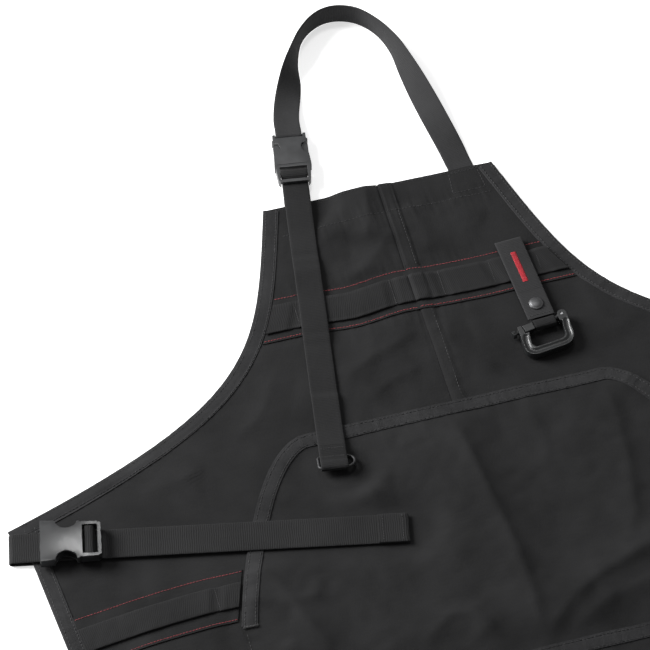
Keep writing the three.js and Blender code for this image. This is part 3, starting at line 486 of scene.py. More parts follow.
# ---- mesh builders
def dress(mesh, look, sharp):
    mesh.materials.append(look)
    mesh.shade_smooth()
    mesh.set_sharp_from_angle(angle=math.radians(sharp))


def make(name, points, faces, look, body="apron", nodes=(), slot=None, lay=None, sharp=48):
    mesh = bpy.data.meshes.new(name)
    points = np.asarray(points, float).reshape(-1, 3)
    mesh.from_pydata((points * MM).tolist(), [], faces)
    work = bmesh.new()
    work.from_mesh(mesh)
    bmesh.ops.recalc_face_normals(work, faces=work.faces)
    work.to_mesh(mesh)
    work.free()
    dress(mesh, look, sharp)
    if lay is not None:
        spot = np.zeros((len(points), 3), np.float32)
        spot[:, :2] = np.asarray(lay, float).reshape(-1, 2)
        mesh.attributes.new("lay", "FLOAT_VECTOR", "POINT").data.foreach_set("vector", spot.ravel())
    made = placed(name, mesh)
    if body:
        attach(made, body)
    if nodes:
        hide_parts(*nodes)
    return made


def quads(count, around, first=0):
    """Faces between rings of points."""
    rows = [first + i * around for i in range(count)]
    pairs = [(j, (j + 1) % around) for j in range(around)]
    return [(a + j, a + k, b + k, b + j) for a, b in zip(rows, rows[1:]) for j, k in pairs]


def loft_faces(count, around, first=0):
    """Faces of a strip whose rings go along one side of it and come back along the other."""
    faces = quads(count, around, first)
    for a in (first, first + (count - 1) * around):
        for j in range(around // 2 - 1):
            faces.append((a + j, a + j + 1, a + around - 2 - j, a + around - 1 - j))
    return faces


def loft(name, rings, look, lay, **settings):
    return make(name, rings, loft_faces(*rings.shape[:2]), look, lay=lay, **settings)


def layer(name, xs, ys, top, thick, look, slot="canvas", **settings):
    """A layer of cloth over a grid of places, with a slightly rounded edge."""
    z = top(xs, ys)
    rim = np.ones(xs.shape[1])
    rim[[0, -1]] = 0.55
    upper = np.stack([xs, ys, z - thick * 0.5 * (1 - rim)], axis=2)
    lower = np.stack([xs, ys, z - thick + thick * 0.5 * (1 - rim)], axis=2)[:, ::-1]
    rings = np.concatenate([upper, lower], axis=1)
    return loft(name, rings, look, rings[:, :, :2].copy(), slot=slot, **settings)


def grid(y0, y1, step, left, right, across):
    """Places in rows from y0 to y1, each from left(y) to right(y)."""
    ys = np.linspace(y0, y1, int(abs(y1 - y0) / step) + 2)
    t = np.linspace(0, 1, across)
    lows, highs = left(ys), right(ys)
    xs = lows[:, None] + (highs - lows)[:, None] * t
    return xs, np.repeat(ys[:, None], across, axis=1)


def normals_of(line):
    """The way to the left of a line, at each of its points."""
    step = np.gradient(line, axis=0)
    step = step / np.linalg.norm(step, axis=1)[:, None]
    return np.stack([-step[:, 1], step[:, 0]], axis=1)


def doubled(upper, lower, run, places):
    """Rings over a strip and back under it, with each point's place along and across."""
    rings = np.concatenate([upper, lower[:, ::-1]], axis=1)
    lay = np.zeros((*rings.shape[:2], 2))
    lay[:, :, 0] = run[:, None]
    lay[:, :, 1] = np.concatenate([places, places[::-1]])
    return rings, lay


# webbing's places across, as shares of its half width, and how full it is there
EDGE_PLACES = np.array([-1, -0.985, -0.93, -0.75, -0.5, -0.25, 0, 0.25, 0.5, 0.75, 0.93, 0.985, 1])
EDGE_FULL = np.array([0.3, 0.78, 1.08, 1, 1, 1, 1, 1, 1, 1, 1.08, 0.78, 0.3])


def ribbon(name, centre, side, up, width, look, thick=WEBBING, **settings):
    """Webbing along a centre line, with rounded, slightly thicker edges."""
    centre, side, up = (np.asarray(v, float) for v in (centre, side, up))
    out = width / 2 * EDGE_PLACES
    mid = centre[:, None] + side[:, None] * out[None, :, None]
    half = up[:, None] * (thick / 2 * EDGE_FULL)[None, :, None]
    rings, lay = doubled(mid + half, mid - half, along(centre), out)
    return loft(name, rings, look, lay, slot="webbing", **settings)


def rounded_path(path, rounds=3):
    """A polyline with its corners cut, again and again."""
    path = np.asarray(path, float)
    for _ in range(rounds):
        first = path[:-1] * 0.75 + path[1:] * 0.25
        second = path[:-1] * 0.25 + path[1:] * 0.75
        path = np.concatenate([path[:1], np.stack([first, second], axis=1).reshape(-1, 2), path[-1:]])
    return path


def strap(name, path, at, angle, width, look, rounds=1, step=1.6, **settings):
    """Webbing from a path of (along, up) points, seen from its side, that runs from at along an angle."""
    path = spaced(rounded_path(path, rounds), step)
    normal = normals_of(path)
    ahead = np.array([math.cos(angle), math.sin(angle), 0])
    side = np.array([-math.sin(angle), math.cos(angle), 0])
    base = np.array([at[0], at[1], at[2] if len(at) > 2 else 0.0])
    rise = np.array([0, 0, 1.0])
    centre = base + path[:, :1] * ahead + path[:, 1:] * rise
    up = normal[:, :1] * ahead + normal[:, 1:] * rise
    sides = np.repeat(side[None], len(path), axis=0)
    return ribbon(name, centre, sides, up, width, look, **settings)


def turned(s, z, radius, start, stop, count):
    """Points round a turn seen from its side, between two angles in degrees."""
    angles = np.radians(np.linspace(start, stop, count))
    return [(s + radius * math.cos(a), z + radius * math.sin(a)) for a in angles]


def local(at, angle, s, a, z):
    """The place that far along and across a direction on the ground."""
    ahead = (math.cos(angle), math.sin(angle))
    return (at[0] + ahead[0] * s - ahead[1] * a, at[1] + ahead[1] * s + ahead[0] * a, z)


# ---- stitches
def stitch_rows(lines, pitch=3.6, length=2.7, wide=0.6, high=0.34):
    """Small sewn stitches along lines of points (x, y, z) on the cloth."""
    around = 6
    ring = np.array([(math.cos(TAU * k / around), math.sin(TAU * k / around)) for k in range(around)])
    rows, faces, count = [], [], 0
    for line in lines:
        line = np.asarray(line, float)
        run = along(line)
        if run[-1] < pitch:
            continue
        for s in np.arange(pitch / 2, run[-1], pitch):
            spots = [[np.interp(s + d, run, line[:, k]) for k in range(3)] for d in (0, -0.6, 0.6)]
            here, before, after = np.array(spots)
            ahead = (after - before) / max(np.linalg.norm(after - before), 1e-6)
            side = np.cross([0, 0, 1.0], ahead)
            side = side / max(np.linalg.norm(side), 1e-6)
            up = np.cross(ahead, side)
            for place, size, drop in ((-0.5, 0.35, 0.3), (-0.3, 1, 0), (0.3, 1, 0), (0.5, 0.35, 0.3)):
                mid = here + ahead * place * length - up * drop * high
                rows.append(mid + side * ring[:, :1] * wide / 2 * size + up * ring[:, 1:] * high * size)
            first = count * 4 * around
            faces += loft_faces(4, around, first)
            count += 1
    return np.concatenate(rows), faces


def sew(name, lines, look, slot, body="apron", nodes=(), **shape):
    points, faces = stitch_rows(lines, **shape)
    return make(name, points, faces, look, body=body, slot=slot, nodes=nodes, sharp=80)


def on(top, line, step=2.0, lift=0.05):
    """A line of (x, y) laid on a cloth's top."""
    line = spaced(line, step)
    return np.column_stack([line, top(line[:, 0], line[:, 1]) + lift])


def offset(line, inwards):
    return line + normals_of(line) * inwards


def cross_rows(at, angle, places, half, z, step=0.9):
    return [[local(at, angle, s, a, z) for a in np.arange(-half, half + 0.1, step)] for s in places]


# ---- the apron's panels
def level(x):
    return lambda y: np.full(np.shape(y), x)


def flat_piece(name, x0, x1, y0, y1, top, thick, look, **settings):
    xs, ys = grid(y1, y0, 4.0, level(x0), level(x1), int((x1 - x0) / 4.0) + 2)
    return layer(name, xs, ys, top, thick, look, **settings)


xs, ys = grid(HEM_Y, SKIRT_Y, 3.6, level(0.15), panel_half, 112)
panel_right, panel_left = (
    layer(
        f"main_panel_{word}_cloth", way * xs, ys, body_z, CLOTH, canvas,
        nodes=[f"main_panel_{word}"],
    )
    for word, way in (("right", 1), ("left", -1))
)


def back_of(x, y):
    """Top of what is sewn behind the cloth."""
    return body_z(x, y) - CLOTH - 0.3


def facing_half(y):
    return 97 + 5 * (HEM_Y - y) / 34


seam_tape = flat_piece(
    "centre_seam_tape_back", -6, 6, HEM_FOOT + 0.3, 265.7, back_of, 1.4, tape,
    nodes=["centre_seam_tape"], slot="binding",
)
xs, ys = grid(HEM_Y + 0.8, 266, 3.0, lambda y: -facing_half(y), facing_half, 70)
layer("top_hem_facing_back", xs, ys, back_of, 1.3, canvas, nodes=["top_hem_facing"])
flat_piece("bottom_hem_back", -329, 329, SKIRT_Y, HEM_FOOT, back_of, 1.4, canvas, nodes=["bottom_hem"])

# tape folded over an edge: distance in from the edge with height over the cloth, on top and behind
TAPE_OVER = [(14, 0.15), (13.5, 0.75), (11.4, 0.62), (8.5, 1.0), (7, 1.05), (4, 1.0), (1, 0.95)]
TAPE_OVER += [(-0.35, 0.7), (-0.95, 0.0)]
TAPE_BEHIND = [(14, -0.95), (12, -1.05), (7, -1.1), (2, -1.0), (-0.5, -0.8), (-0.98, -0.3)]
# points round the folded tape: distance in, whether as high as the edge, height, ripple, place across
TAPE_RING = [
    (d, d <= 0, rise, (1 if d > 1 else 0.2) * (1 if rise > 0.1 else 0.3), d) for d, rise in TAPE_OVER
]
TAPE_RING += [(d, d <= 0, rise - CLOTH, 0, -d) for d, rise in reversed(TAPE_BEHIND)]
TAPE_RING += [(max(d, 0.3), d <= 0, -CLOTH - 0.05, 0, -d) for d, _ in TAPE_BEHIND]
TAPE_RING += [(0.3, True, 0, 0, 0.25)]
TAPE_RING += [(d, False, 0.03, 0, d) for d in (0.35, 1, 4, 7, 8.5, 11.4, 13.5, 14)]


def fold_over(name, line, side, node_name, top=body_z):
    """Tape folded over an edge: over the top, round the edge, back under it and inside to its start."""
    line = spaced(line, 2.6)
    run = along(line)
    ripple = 0.16 * np.sin(TAU * run / 6.1 + 1.3 * np.sin(run / 17)) + 0.12 * np.sin(TAU * run / 10.7)
    away, at_edge, rise, share, across = np.array(TAPE_RING, float).T
    spots = line[:, None] + (normals_of(line) * side)[:, None] * away[None, :, None]
    edge_top = top(line[:, 0], line[:, 1])[:, None]
    z = np.where(at_edge > 0, edge_top, top(spots[:, :, 0], spots[:, :, 1]))
    z = np.maximum(z + rise + ripple[:, None] * share, 0.05)
    lay = np.dstack([run[:, None] + 0 * z, across + 0 * z])
    return loft(name, np.dstack([spots, z]), tape, lay, nodes=[node_name], slot="binding")


def bind(kind, right_line, left_line):
    """The two tapes round the apron's edges of that kind, the right one first."""
    return [
        fold_over(f"{kind}_binding_{word}_tape", line, side, f"{kind}_binding_{word}")
        for word, side, line in (("right", -1, right_line), ("left", 1, left_line))
    ]


# the left armhole ends a little further out than the right one, past the belt's fold
left_armhole = bezier([(-112, 300), (-158, 145), (-166, 92), (-424, 13)], 120)
bind_arm_right, bind_arm_left = bind("armhole", armhole, left_armhole)
bind_side_right, bind_side_left = bind("side", side_edge[3:], mirror(side_edge[3:]))

# tape laid on the cloth: distance in from the edge line, and height over the cloth
LAID_PLACES = np.array([-0.6, -0.45, 0.4, 1.8, 3, 5, 7, 9, 11, 12.4, 13.65, 14])
LAID_RISE = np.array([0.1, 0.75, 0.95, 0.72, 0.95, 1.0, 1.0, 1.0, 0.95, 0.72, 0.85, 0.15])


def laid_tape(name, line, side, node_names, top):
    """Tape lying on the cloth beside an edge line."""
    line = spaced(line, 2.4)
    run = along(line)
    spots = line[:, None] + (normals_of(line) * side)[:, None] * LAID_PLACES[None, :, None]
    z = top(spots[:, :, 0], spots[:, :, 1])
    ripple = 0.14 * np.sin(TAU * run / 5.7 + 1.1 * np.sin(run / 13)) + 0.14 * np.sin(TAU * run / 9.3 + 2)
    upper = np.dstack([spots, z + LAID_RISE + ripple[:, None] * (LAID_RISE > 0.5)])
    rings, lay = doubled(upper, np.dstack([spots, z - 0.35]), run, LAID_PLACES - BINDING / 2)
    return loft(name, rings, tape, lay, nodes=node_names, slot="binding")


# ---- pockets
xs, ys = grid(POCKET_TOP, POCKET_FOOT, 3.2, lambda y: -pocket_half(y), pocket_half, 150)
pocket = layer("pocket_panel_cloth", xs, ys, pocket_z, TAPE, canvas, nodes=["pocket_panel"])
pocket_edge = np.concatenate([mirror(opening)[::-1], opening])
POCKET_TAPES = ["pocket_top_binding", "pocket_side_binding_left", "pocket_side_binding_right"]
pocket_tape = laid_tape("pocket_edge_binding_tape", pocket_edge, -1, POCKET_TAPES, pocket_z)
lower_pocket = flat_piece(
    "lower_pocket_cloth", -POCKET_HALF, POCKET_HALF, LOWER_FOOT, LOWER_TOP, lower_z, TAPE, canvas,
    nodes=["lower_pocket_panel"],
)
lower_tape = laid_tape(
    "lower_pocket_binding_tape", [(-POCKET_HALF, LOWER_TOP), (POCKET_HALF, LOWER_TOP)], -1,
    ["lower_pocket_binding"], lower_z,
)


# ---- tool loops
def strip_z(x, y):
    return body_z(x, y) + 1.15


def inner_edge(line, y):
    """Where a binding's inner edge is at a height, on the right."""
    inner = line - normals_of(line) * (BINDING + 0.4)
    return np.interp(-np.asarray(y, float), -inner[:, 1], inner[:, 0])


def drift(x, y):
    """How far the sewn strips wander along the cloth."""
    x, y = np.asarray(x, float), np.asarray(y, float)
    chest = -3.6 * np.exp(-(((x + 62) / 26) ** 2)) + 1.4 * np.exp(-(((x + 12) / 22) ** 2))
    chest = chest - 1.6 * np.exp(-(((x - 62) / 40) ** 2))
    hip = -11 * np.clip((-x - 262) / 125, 0, 1.1) ** 1.5
    return np.where(y > 0, chest, hip)


def loop_webbing(name, ends, y, width, tacks, node_name):
    """Webbing sewn down at its tacks and standing a little off between them."""
    x0, x1 = (float(v) for v in ends(np.array(y, float)))
    xs = np.linspace(x0, x1, int((x1 - x0) / 1.5))
    gap = np.min(np.abs(xs[:, None] - np.array(tacks)[None]), axis=1)
    rise = 1.1 * smooth(0.8, 9.0, gap) + 0.18 * np.sin(xs / 9.0)
    places = width / 2 * EDGE_PLACES
    along_x = np.linspace(0, 1, len(xs))[:, None]
    yy = y + places[None, :] * (1 - 0.03 * smooth(4, 0, gap))[:, None]
    left, right = ends(yy[0])
    xx = left + (right - left) * along_x
    yy = yy + drift(xx, yy)
    cup = 1 - (places / (width / 2)) ** 2
    mid = strip_z(xx, yy) + 0.75 + rise[:, None] * (0.8 + 0.2 * cup)[None, :]
    half = WEBBING / 2 * EDGE_FULL
    rings, lay = doubled(np.dstack([xx, yy, mid + half]), np.dstack([xx, yy, mid - half]), xs, places)
    return loft(name, rings, webbing, lay, nodes=[node_name], slot="webbing")


CHEST_TACKS = [-113, -20, 27, 76, 122]
HIP_TACK = 260


def chest_ends(y):
    edge = inner_edge(armhole, y)
    return -edge, edge


def hip_ends(y):
    return 231 + 17 * (-79 - y) / 52, inner_edge(side_edge, y)


def hip_ends_left(y):
    inner, outer = hip_ends(y)
    return -outer, -inner


def base_strip(name, ends, y0, y1, node_name):
    xs, ys = grid(y1, y0, 3.0, lambda y: ends(y)[0], lambda y: ends(y)[1], 60)
    ys = ys + drift(xs, ys)
    return layer(name, xs, ys, strip_z, TAPE, canvas, nodes=[node_name])


chest_strip = base_strip("chest_base_strip_cloth", chest_ends, 151, 199, "chest_base_strip")
loop_webbing("chest_webbing_loops", chest_ends, CHEST_Y, CHEST_WIDTH, CHEST_TACKS, "chest_webbing")
for word, ends, tack in (("right", hip_ends, HIP_TACK), ("left", hip_ends_left, -HIP_TACK)):
    piece = base_strip(f"hip_base_strip_{word}_cloth", ends, -131, -79, f"hip_base_strip_{word}")
    loop_webbing(f"hip_webbing_{word}_loops", ends, HIP_Y, HIP_WIDTH, [tack], f"hip_webbing_{word}")

# ---- sewing
red_lines = []
CHEST_ROWS, HIP_ROWS = (197.2, 153.2), (-81.2, -128.8)
for ends, rows in ((chest_ends, CHEST_ROWS), (hip_ends, HIP_ROWS), (hip_ends_left, HIP_ROWS)):
    for y in rows:
        x0, x1 = ends(y)
        row = spaced([(x0 + 1, y), (x1 - 1, y)], 2.0)
        row[:, 1] += drift(row[:, 0], row[:, 1])
        red_lines.append(on(strip_z, row, lift=0.05))
sew("red_topstitching", red_lines, red_thread, "red_thread", pitch=3.0, length=2.7, wide=0.62)


def tape_top(top, rise=0.95):
    return lambda x, y: top(x, y) + rise


black_lines = []
for way in (1, -1):
    arm, side, mouth = (line if way > 0 else mirror(line) for line in (armhole, side_edge[3:], opening))
    for inset in (11.6, 2.2):
        black_lines.append(on(tape_top(body_z), offset(arm, -inset * way)))
        black_lines.append(on(tape_top(body_z), offset(side, -inset * way)))
        black_lines.append(on(tape_top(pocket_z), offset(mouth, -inset * way)))
for y in (POCKET_TOP - 1.8, POCKET_TOP - BINDING + 1.8):
    black_lines.append(on(tape_top(pocket_z), [(-136, y), (136, y)]))
for y in (LOWER_TOP - 1.8, LOWER_TOP - BINDING + 1.8):
    black_lines.append(on(tape_top(lower_z), [(-244, y), (244, y)]))
BIB_ROWS, BIB_HALF = (266.5, 297.5), 103
SEAM_RUNS = ((266, 200), (150, 45), (-402, -536))
HEM_ROW, POCKET_ROW, LOWER_ROW = -536.5, 243.5, -397
for y in BIB_ROWS:
    black_lines.append(on(body_z, [(-BIB_HALF, y), (BIB_HALF, y)]))
for y0, y1 in SEAM_RUNS:
    black_lines.append(on(body_z, [(SEAM_STITCH, y0), (SEAM_STITCH, y1)]))
black_lines.append(on(body_z, [(-328, HEM_ROW), (328, HEM_ROW)]))
black_lines.append(on(lower_z, [(-244, LOWER_ROW), (244, LOWER_ROW)]))
for x in (POCKET_ROW, -POCKET_ROW):
    black_lines.append(on(lower_z, [(x, -244), (x, LOWER_ROW)]))
    black_lines.append(on(pocket_z, [(x, -146), (x, -226)]))
# the box where the neck webbing's right end is sewn behind the bib
BOX = [(69, 296), (97, 296), (99, 273), (67, 273), (69, 296)]
black_lines.append(on(body_z, BOX, step=1.5))
sew("black_topstitching", black_lines, black_thread, "binding")


def loop_top(x, y):
    return strip_z(x, y) + WEBBING + 0.12


tack_lines = []
for x in CHEST_TACKS:
    middle = CHEST_Y + drift(x, CHEST_Y)
    tack_lines.append(on(loop_top, [(x, middle - 14), (x, middle + 14)], step=1.0))
for x in (-HIP_TACK, HIP_TACK):
    tack_lines.append(on(loop_top, [(x, HIP_Y + 12), (x, HIP_Y - 12)], step=1.0))
sew("loop_bar_tacks", tack_lines, black_thread, "binding", pitch=1.9, length=1.5, high=0.3)
mouth_ends = [
    on(tape_top(pocket_z, 1.1), [(way * 231.5, -140.5), (way * 245.5, -140.5)], step=1.0) for way in (1, -1)
]
sew(
    "pocket_corner_tacks", mouth_ends, black_thread, "binding", pitch=0.95, length=0.55, wide=2.4, high=0.4
)

# ---- neck strap
LIFT = NECK_JOINT[2] - WEBBING / 2
LOOP_BAR = 35.7
up_axis = np.array([math.sin(-NECK_ANGLE), math.cos(NECK_ANGLE)])
bar_at = np.array(NECK_JOINT[:2]) + up_axis * LOOP_BAR
# x, y, lift off the floor, roll in degrees
STATIONS = [
    (*(bar_at + up_axis * 8), LIFT, 0), (*(bar_at + up_axis * 22), 6, 0), (-59, 416, 2, 4),
    (-50, 439, 0.1, 30), (-40, 464, 0.1, 68), (-26, 489, 0.1, 88), (-8, 504, 0.1, 90),
    (12, 508, 0.1, 90), (33, 500, 0.1, 90),
    (49, 481, 0.1, 88), (59, 456, 0.1, 76), (64, 428, 0.1, 56), (69, 398, 0.1, 36), (75, 362, 0.1, 18),
    (80, 330, 0.1, 6), (82, 312, 0.1, 0), (83, 301, 0.05, 0), (83, 272, 0.05, 0),
]


def catmull(points, steps):
    points = np.asarray(points, float)
    padded = np.concatenate([2 * points[:1] - points[1:2], points, 2 * points[-1:] - points[-2:-1]])
    made = []
    for i in range(1, len(padded) - 2):
        a, b, c, d = padded[i - 1 : i + 3]
        for t in np.arange(steps) / steps:
            bend = (2 * a - 5 * b + 4 * c - d) * t**2 + (3 * b - a - 3 * c + d) * t**3
            made.append(0.5 * (2 * b + (c - a) * t + bend))
    made.append(points[-1])
    return np.array(made)


run = catmull(STATIONS, 10)
left_way = normals_of(run[:, :2])
roll = np.radians(run[:, 3])
height = np.maximum(run[:, 2], 0.05) + 12.5 * np.sin(roll) + WEBBING / 2 * np.cos(roll)
centre = np.column_stack([run[:, :2], height])
side = np.column_stack([left_way * np.cos(roll)[:, None], np.sin(roll)])
up = np.column_stack([-left_way * np.sin(roll)[:, None], np.cos(roll)])
ribbon("neck_strap_webbing", centre, side, up, NECK_WIDTH, pale_webbing, nodes=["neck_strap"])
NECK_UP = NECK_ANGLE + math.pi / 2
BAR_TURN = 1.5 + 0.3 + WEBBING / 2
bight_path = [(9, -0.6), (5, -1.6), *turned(0, 0, BAR_TURN, 290, 70, 14), (5, 1.6), (9, 0.6)]
strap(
    "neck_strap_bight", bight_path, (*bar_at, NECK_JOINT[2]), NECK_UP, NECK_WIDTH, pale_webbing, step=0.8
)

# the tail on the plug, draped over the bib and its loops
down_angle = NECK_ANGLE - math.pi / 2
FRAME_END = 3.4 + 18
TURN = 1.3 + 0.3 + WEBBING / 2
TAIL_END = 348 - TURN - WEBBING / 2
TAIL_Z = 0.5
BAR_TOP = 2.5 + 0.3 + WEBBING / 2


def over_bar(s):
    """The way up beside a ladder bar and over it, starting that far along."""
    return [(s + on, BAR_TOP - drop) for on, drop in ((0, 1.3), (0.5, 0.4), (1.6, 0), (6, 0), (7.6, 0.9))]


def tail_support(s):
    """Height that the tail needs over what lies under it, also after the plug has slid out."""
    ahead = np.array([math.cos(down_angle), math.sin(down_angle)])
    side = np.array([-ahead[1], ahead[0]])
    best = 0
    for slide in (0, 6, 12, 18, 25):
        for a in (-12, -6, 0, 6, 12):
            x, y = np.array(NECK_JOINT[:2]) + ahead * (s + slide) + side * a
            if y > HEM_Y + 4:
                continue
            here = float(body_z(x, y))
            if 150 < y < 200 and abs(x) < 150:
                here = float(loop_top(x, y)) + 1.2 * (159 < y < 191)
            if y < POCKET_TOP + 2 and abs(x) < pocket_half(y) + 2:
                here = float(pocket_z(x, y)) + 1.2
            best = max(best, here)
    return best + WEBBING / 2 + 0.25 - NECK_JOINT[2]


tail_s = np.arange(FRAME_END + 10, TAIL_END - 1, 6.0)
tail_low = np.array([tail_support(s) for s in tail_s])
tail_low = np.array([max(tail_low[max(i - 1, 0) : i + 2]) for i in range(len(tail_low))])
ramp_down = TAIL_Z + (tail_low - TAIL_Z) * smooth(FRAME_END + 4, FRAME_END + 70, tail_s)
tail_high = np.maximum(ramp_down, tail_low)
ramp_up = tail_high + (TAIL_Z - tail_high) * smooth(TAIL_END - 55, TAIL_END - 10, tail_s)
tail_path = [(6.4, 0.4), *over_bar(6.4), (16, TAIL_Z), (25.4, TAIL_Z)]
tail_path += list(zip(tail_s, np.minimum(ramp_up, TAIL_Z)))
tail_path += turned(TAIL_END, TAIL_Z + TURN, TURN, 270, 450, 12)
tail_path += [(TAIL_END - 5, TAIL_Z + 2 * TURN - 0.4), (TAIL_END - 9, TAIL_Z + WEBBING + 0.35)]
tail_path += [(TAIL_END - 25, TAIL_Z + WEBBING + 0.3)]
strap(
    "neck_strap_tail_webbing", tail_path, NECK_JOINT, down_angle, NECK_WIDTH, webbing, step=1.4,
    body="neck_plug_body", nodes=["neck_strap_tail"],
)
tail_sew_z = NECK_JOINT[2] + TAIL_Z + WEBBING * 1.5 + 0.35
tail_tacks = cross_rows(NECK_JOINT, down_angle, (TAIL_END - 12, TAIL_END - 21), 11, tail_sew_z)
sew("tail_end_tacks", tail_tacks, black_thread, "webbing", body="neck_plug_body", pitch=2.4, length=2.0)
hem_s = (NECK_JOINT[1] - HEM_Y) / math.cos(NECK_ANGLE)
low = WEBBING / 2 + 0.05 - NECK_JOINT[2]
load_path = [(6.4, -1.9), (11.4, -2.1), (FRAME_END, -2.3), (hem_s - 6, low + 2.2), (hem_s - 2, low + 0.2)]
load_path += [(hem_s + 1, low), (hem_s + 28, low)]
load = strap(
    "neck_load_webbing_strap", load_path, NECK_JOINT, down_angle, NECK_WIDTH, webbing, rounds=2,
    body=None, nodes=["neck_load_webbing"],
)
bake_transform(load)

# ---- belt
BELT_Z, BELT_LENGTH = 6.4, 358
belt_low = WEBBING / 2 + 0.05
belt_turn = (BELT_Z - belt_low) / 2
end_turn = WEBBING / 2 + 0.1
belt_path = [(45, belt_low), *turned(belt_turn, belt_low + belt_turn, belt_turn, 270, 90, 12)]
belt_path += [(s, BELT_Z) for s in (30, 90, 150, 210, 270, 320)]
belt_path += turned(BELT_LENGTH - end_turn, BELT_Z + end_turn, end_turn, 270, 450, 8)
belt_path += [(BELT_LENGTH - 27, BELT_Z + 2 * end_turn)]
strap(
    "waist_strap_webbing", belt_path, BELT_FOLD, BELT_ANGLE, BELT_WIDTH, heavy,
    nodes=["waist_strap"],
)
end_z = BELT_Z + 2 * end_turn + WEBBING / 2 + 0.1
belt_rows = cross_rows(BELT_FOLD, BELT_ANGLE, (BELT_LENGTH - 5, BELT_LENGTH - 23), 13, end_z)
sew("belt_end_stitches", belt_rows, black_thread, "webbing", pitch=2.6, length=2.1)

SOCKET_START, LADDER = 28, 36.8
BUCKLE_HALF = (BELT_WIDTH / 3.2 + 1) / 2
socket_z = BELT_Z + WEBBING / 2 + 0.3 + BUCKLE_HALF
foot = -BUCKLE_HALF + 0.1
bight_path = [(LADDER + 3, foot), *over_bar(LADDER + 3), (LADDER + 11.6, 0), (LADDER + 11.8, foot)]
buckle_at = local(BELT_FOLD, BELT_ANGLE, SOCKET_START, 0, socket_z)
strap(
    "waist_strap_bight_webbing", bight_path, buckle_at, BELT_ANGLE, BELT_WIDTH, heavy, step=0.8,
    body="waist_socket_body", nodes=["waist_strap_bight"],
)

# the tab on the right corner
PLUG_BAR, PLUG_Z, TAB_TOP = 21, 2 + BUCKLE_HALF, 5.2
bar_mid = PLUG_Z + 1
tab_turn = math.hypot(2, 1.5) + 0.3 + WEBBING / 2
tab_path = [(-42, belt_low), (3, belt_low), (10, bar_mid - tab_turn), (PLUG_BAR - 2, bar_mid - tab_turn)]
tab_path += turned(PLUG_BAR, bar_mid, tab_turn, 300, 420, 10)
tab_path += [(PLUG_BAR - 2, bar_mid + tab_turn), (16, bar_mid + tab_turn - 0.8), (11, 6)]
tab_path += [(3, TAB_TOP), (-38, TAB_TOP)]
strap(
    "plug_tab_webbing_strap", tab_path, TAB_EDGE, TAB_ANGLE, BELT_WIDTH, heavy, step=1.4,
    nodes=["plug_tab_webbing"],
)
tab_rows = cross_rows(TAB_EDGE, TAB_ANGLE, (-8, -34), 13, TAB_TOP + WEBBING / 2 + 0.1)
sew("plug_tab_stitches", tab_rows, black_thread, "webbing", pitch=2.6, length=2.1)

# ---- key tab
key_down = KEY_ANGLE - math.pi / 2
FLAP_Z, BACK_Z = 8.8, 4.9
FLAP_WIDTH, BACK_WIDTH = 26, 21
fold_z = (FLAP_Z + BACK_Z) / 2
fold_r = FLAP_Z - fold_z
flap_path = turned(0, fold_z, fold_r, 180, 90, 8)
flap_path += [(20, FLAP_Z), (40, FLAP_Z + 0.05), (58, FLAP_Z), (61, FLAP_Z - 0.25)]
flap_path += [(64, FLAP_Z), (80, FLAP_Z), (91, FLAP_Z)]
strap(
    "key_tab_flap_webbing", flap_path, KEY_TOP, key_down, FLAP_WIDTH, pale_webbing, thick=1.0, step=1.0,
    body="key_flap", nodes=["key_tab_flap"],
)
mark = cross_rows(KEY_TOP, key_down, np.arange(14, 49, 0.62), 2.6, 9.45, step=5.2)
sew(
    "key_mark_stitching", mark, label_thread, "red_thread", body="key_flap", nodes=["key_label"],
    pitch=5.0, length=5.6, wide=0.75, high=0.3,
)
flap_row = cross_rows(KEY_TOP, key_down, (88,), 11.5, FLAP_Z + 0.55)
sew("key_tab_stitches", flap_row, black_thread, "webbing", body="key_flap", pitch=2.4, length=1.9)
loop_y = math.hypot(KEY_TOP[0] - RING_AT[0], KEY_TOP[1] - RING_AT[1])
back_path = [(2.8, BACK_Z), (60, BACK_Z), (loop_y - 8, BACK_Z)]
# the loop that the back strip makes round the ring's gate
hoop = [(-4.65, -1.2), (-3.4, -3.05), (3.4, -3.05), (4.65, -1.6), (4.65, 1.6), (3.4, 3.05), (-3.4, 3.05)]
hoop += [(-4.65, 1.4), (-4.65, -1.0)]
back_path += [(loop_y + s, RING_AT[2] + z) for s, z in hoop]
strap(
    "key_tab_back_webbing", back_path, KEY_TOP, key_down, BACK_WIDTH, webbing, thick=0.85, rounds=2, step=0.8,
    nodes=["key_tab_back"],
)


# ---- moulded and metal parts from the frame
def soften(part, width, angle=32):
    """Welds a frame mesh, joins its flat facets and rounds its edges."""
    part.modifiers.new("weld", "WELD").merge_threshold = 0.00002
    planar = part.modifiers.new("planar", "DECIMATE")
    planar.decimate_type = "DISSOLVE"
    planar.angle_limit = math.radians(1.5)
    rounding = part.modifiers.new("round", "BEVEL")
    rounding.width = width * MM
    rounding.segments = 3
    rounding.limit_method = "ANGLE"
    rounding.angle_limit = math.radians(angle)


def finish_node(name, look, width, angle=32):
    """A frame node with rounded edges and a better finish."""
    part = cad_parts[name]
    part.data.materials.clear()
    part.data.materials.append(look)
    soften(part, width, angle)
    part.modifiers.new("even", "WEIGHTED_NORMAL").keep_sharp = False
    part.data.shade_smooth()


def lathe(name, profile, centre, look, body, replaced, around=48):
    """A turned part from (radius, height) points, standing on the floor at a centre."""
    turn = np.linspace(0, TAU, around, endpoint=False)
    x, y = centre[:2]
    rings = [[(x + r * math.cos(a), y + r * math.sin(a), z) for a in turn] for r, z in profile]
    faces = quads(len(rings), around)
    faces += [tuple(range(around)), tuple((len(rings) - 1) * around + j for j in range(around))]
    return make(name, rings, faces, look, body=body, nodes=[replaced], sharp=35)


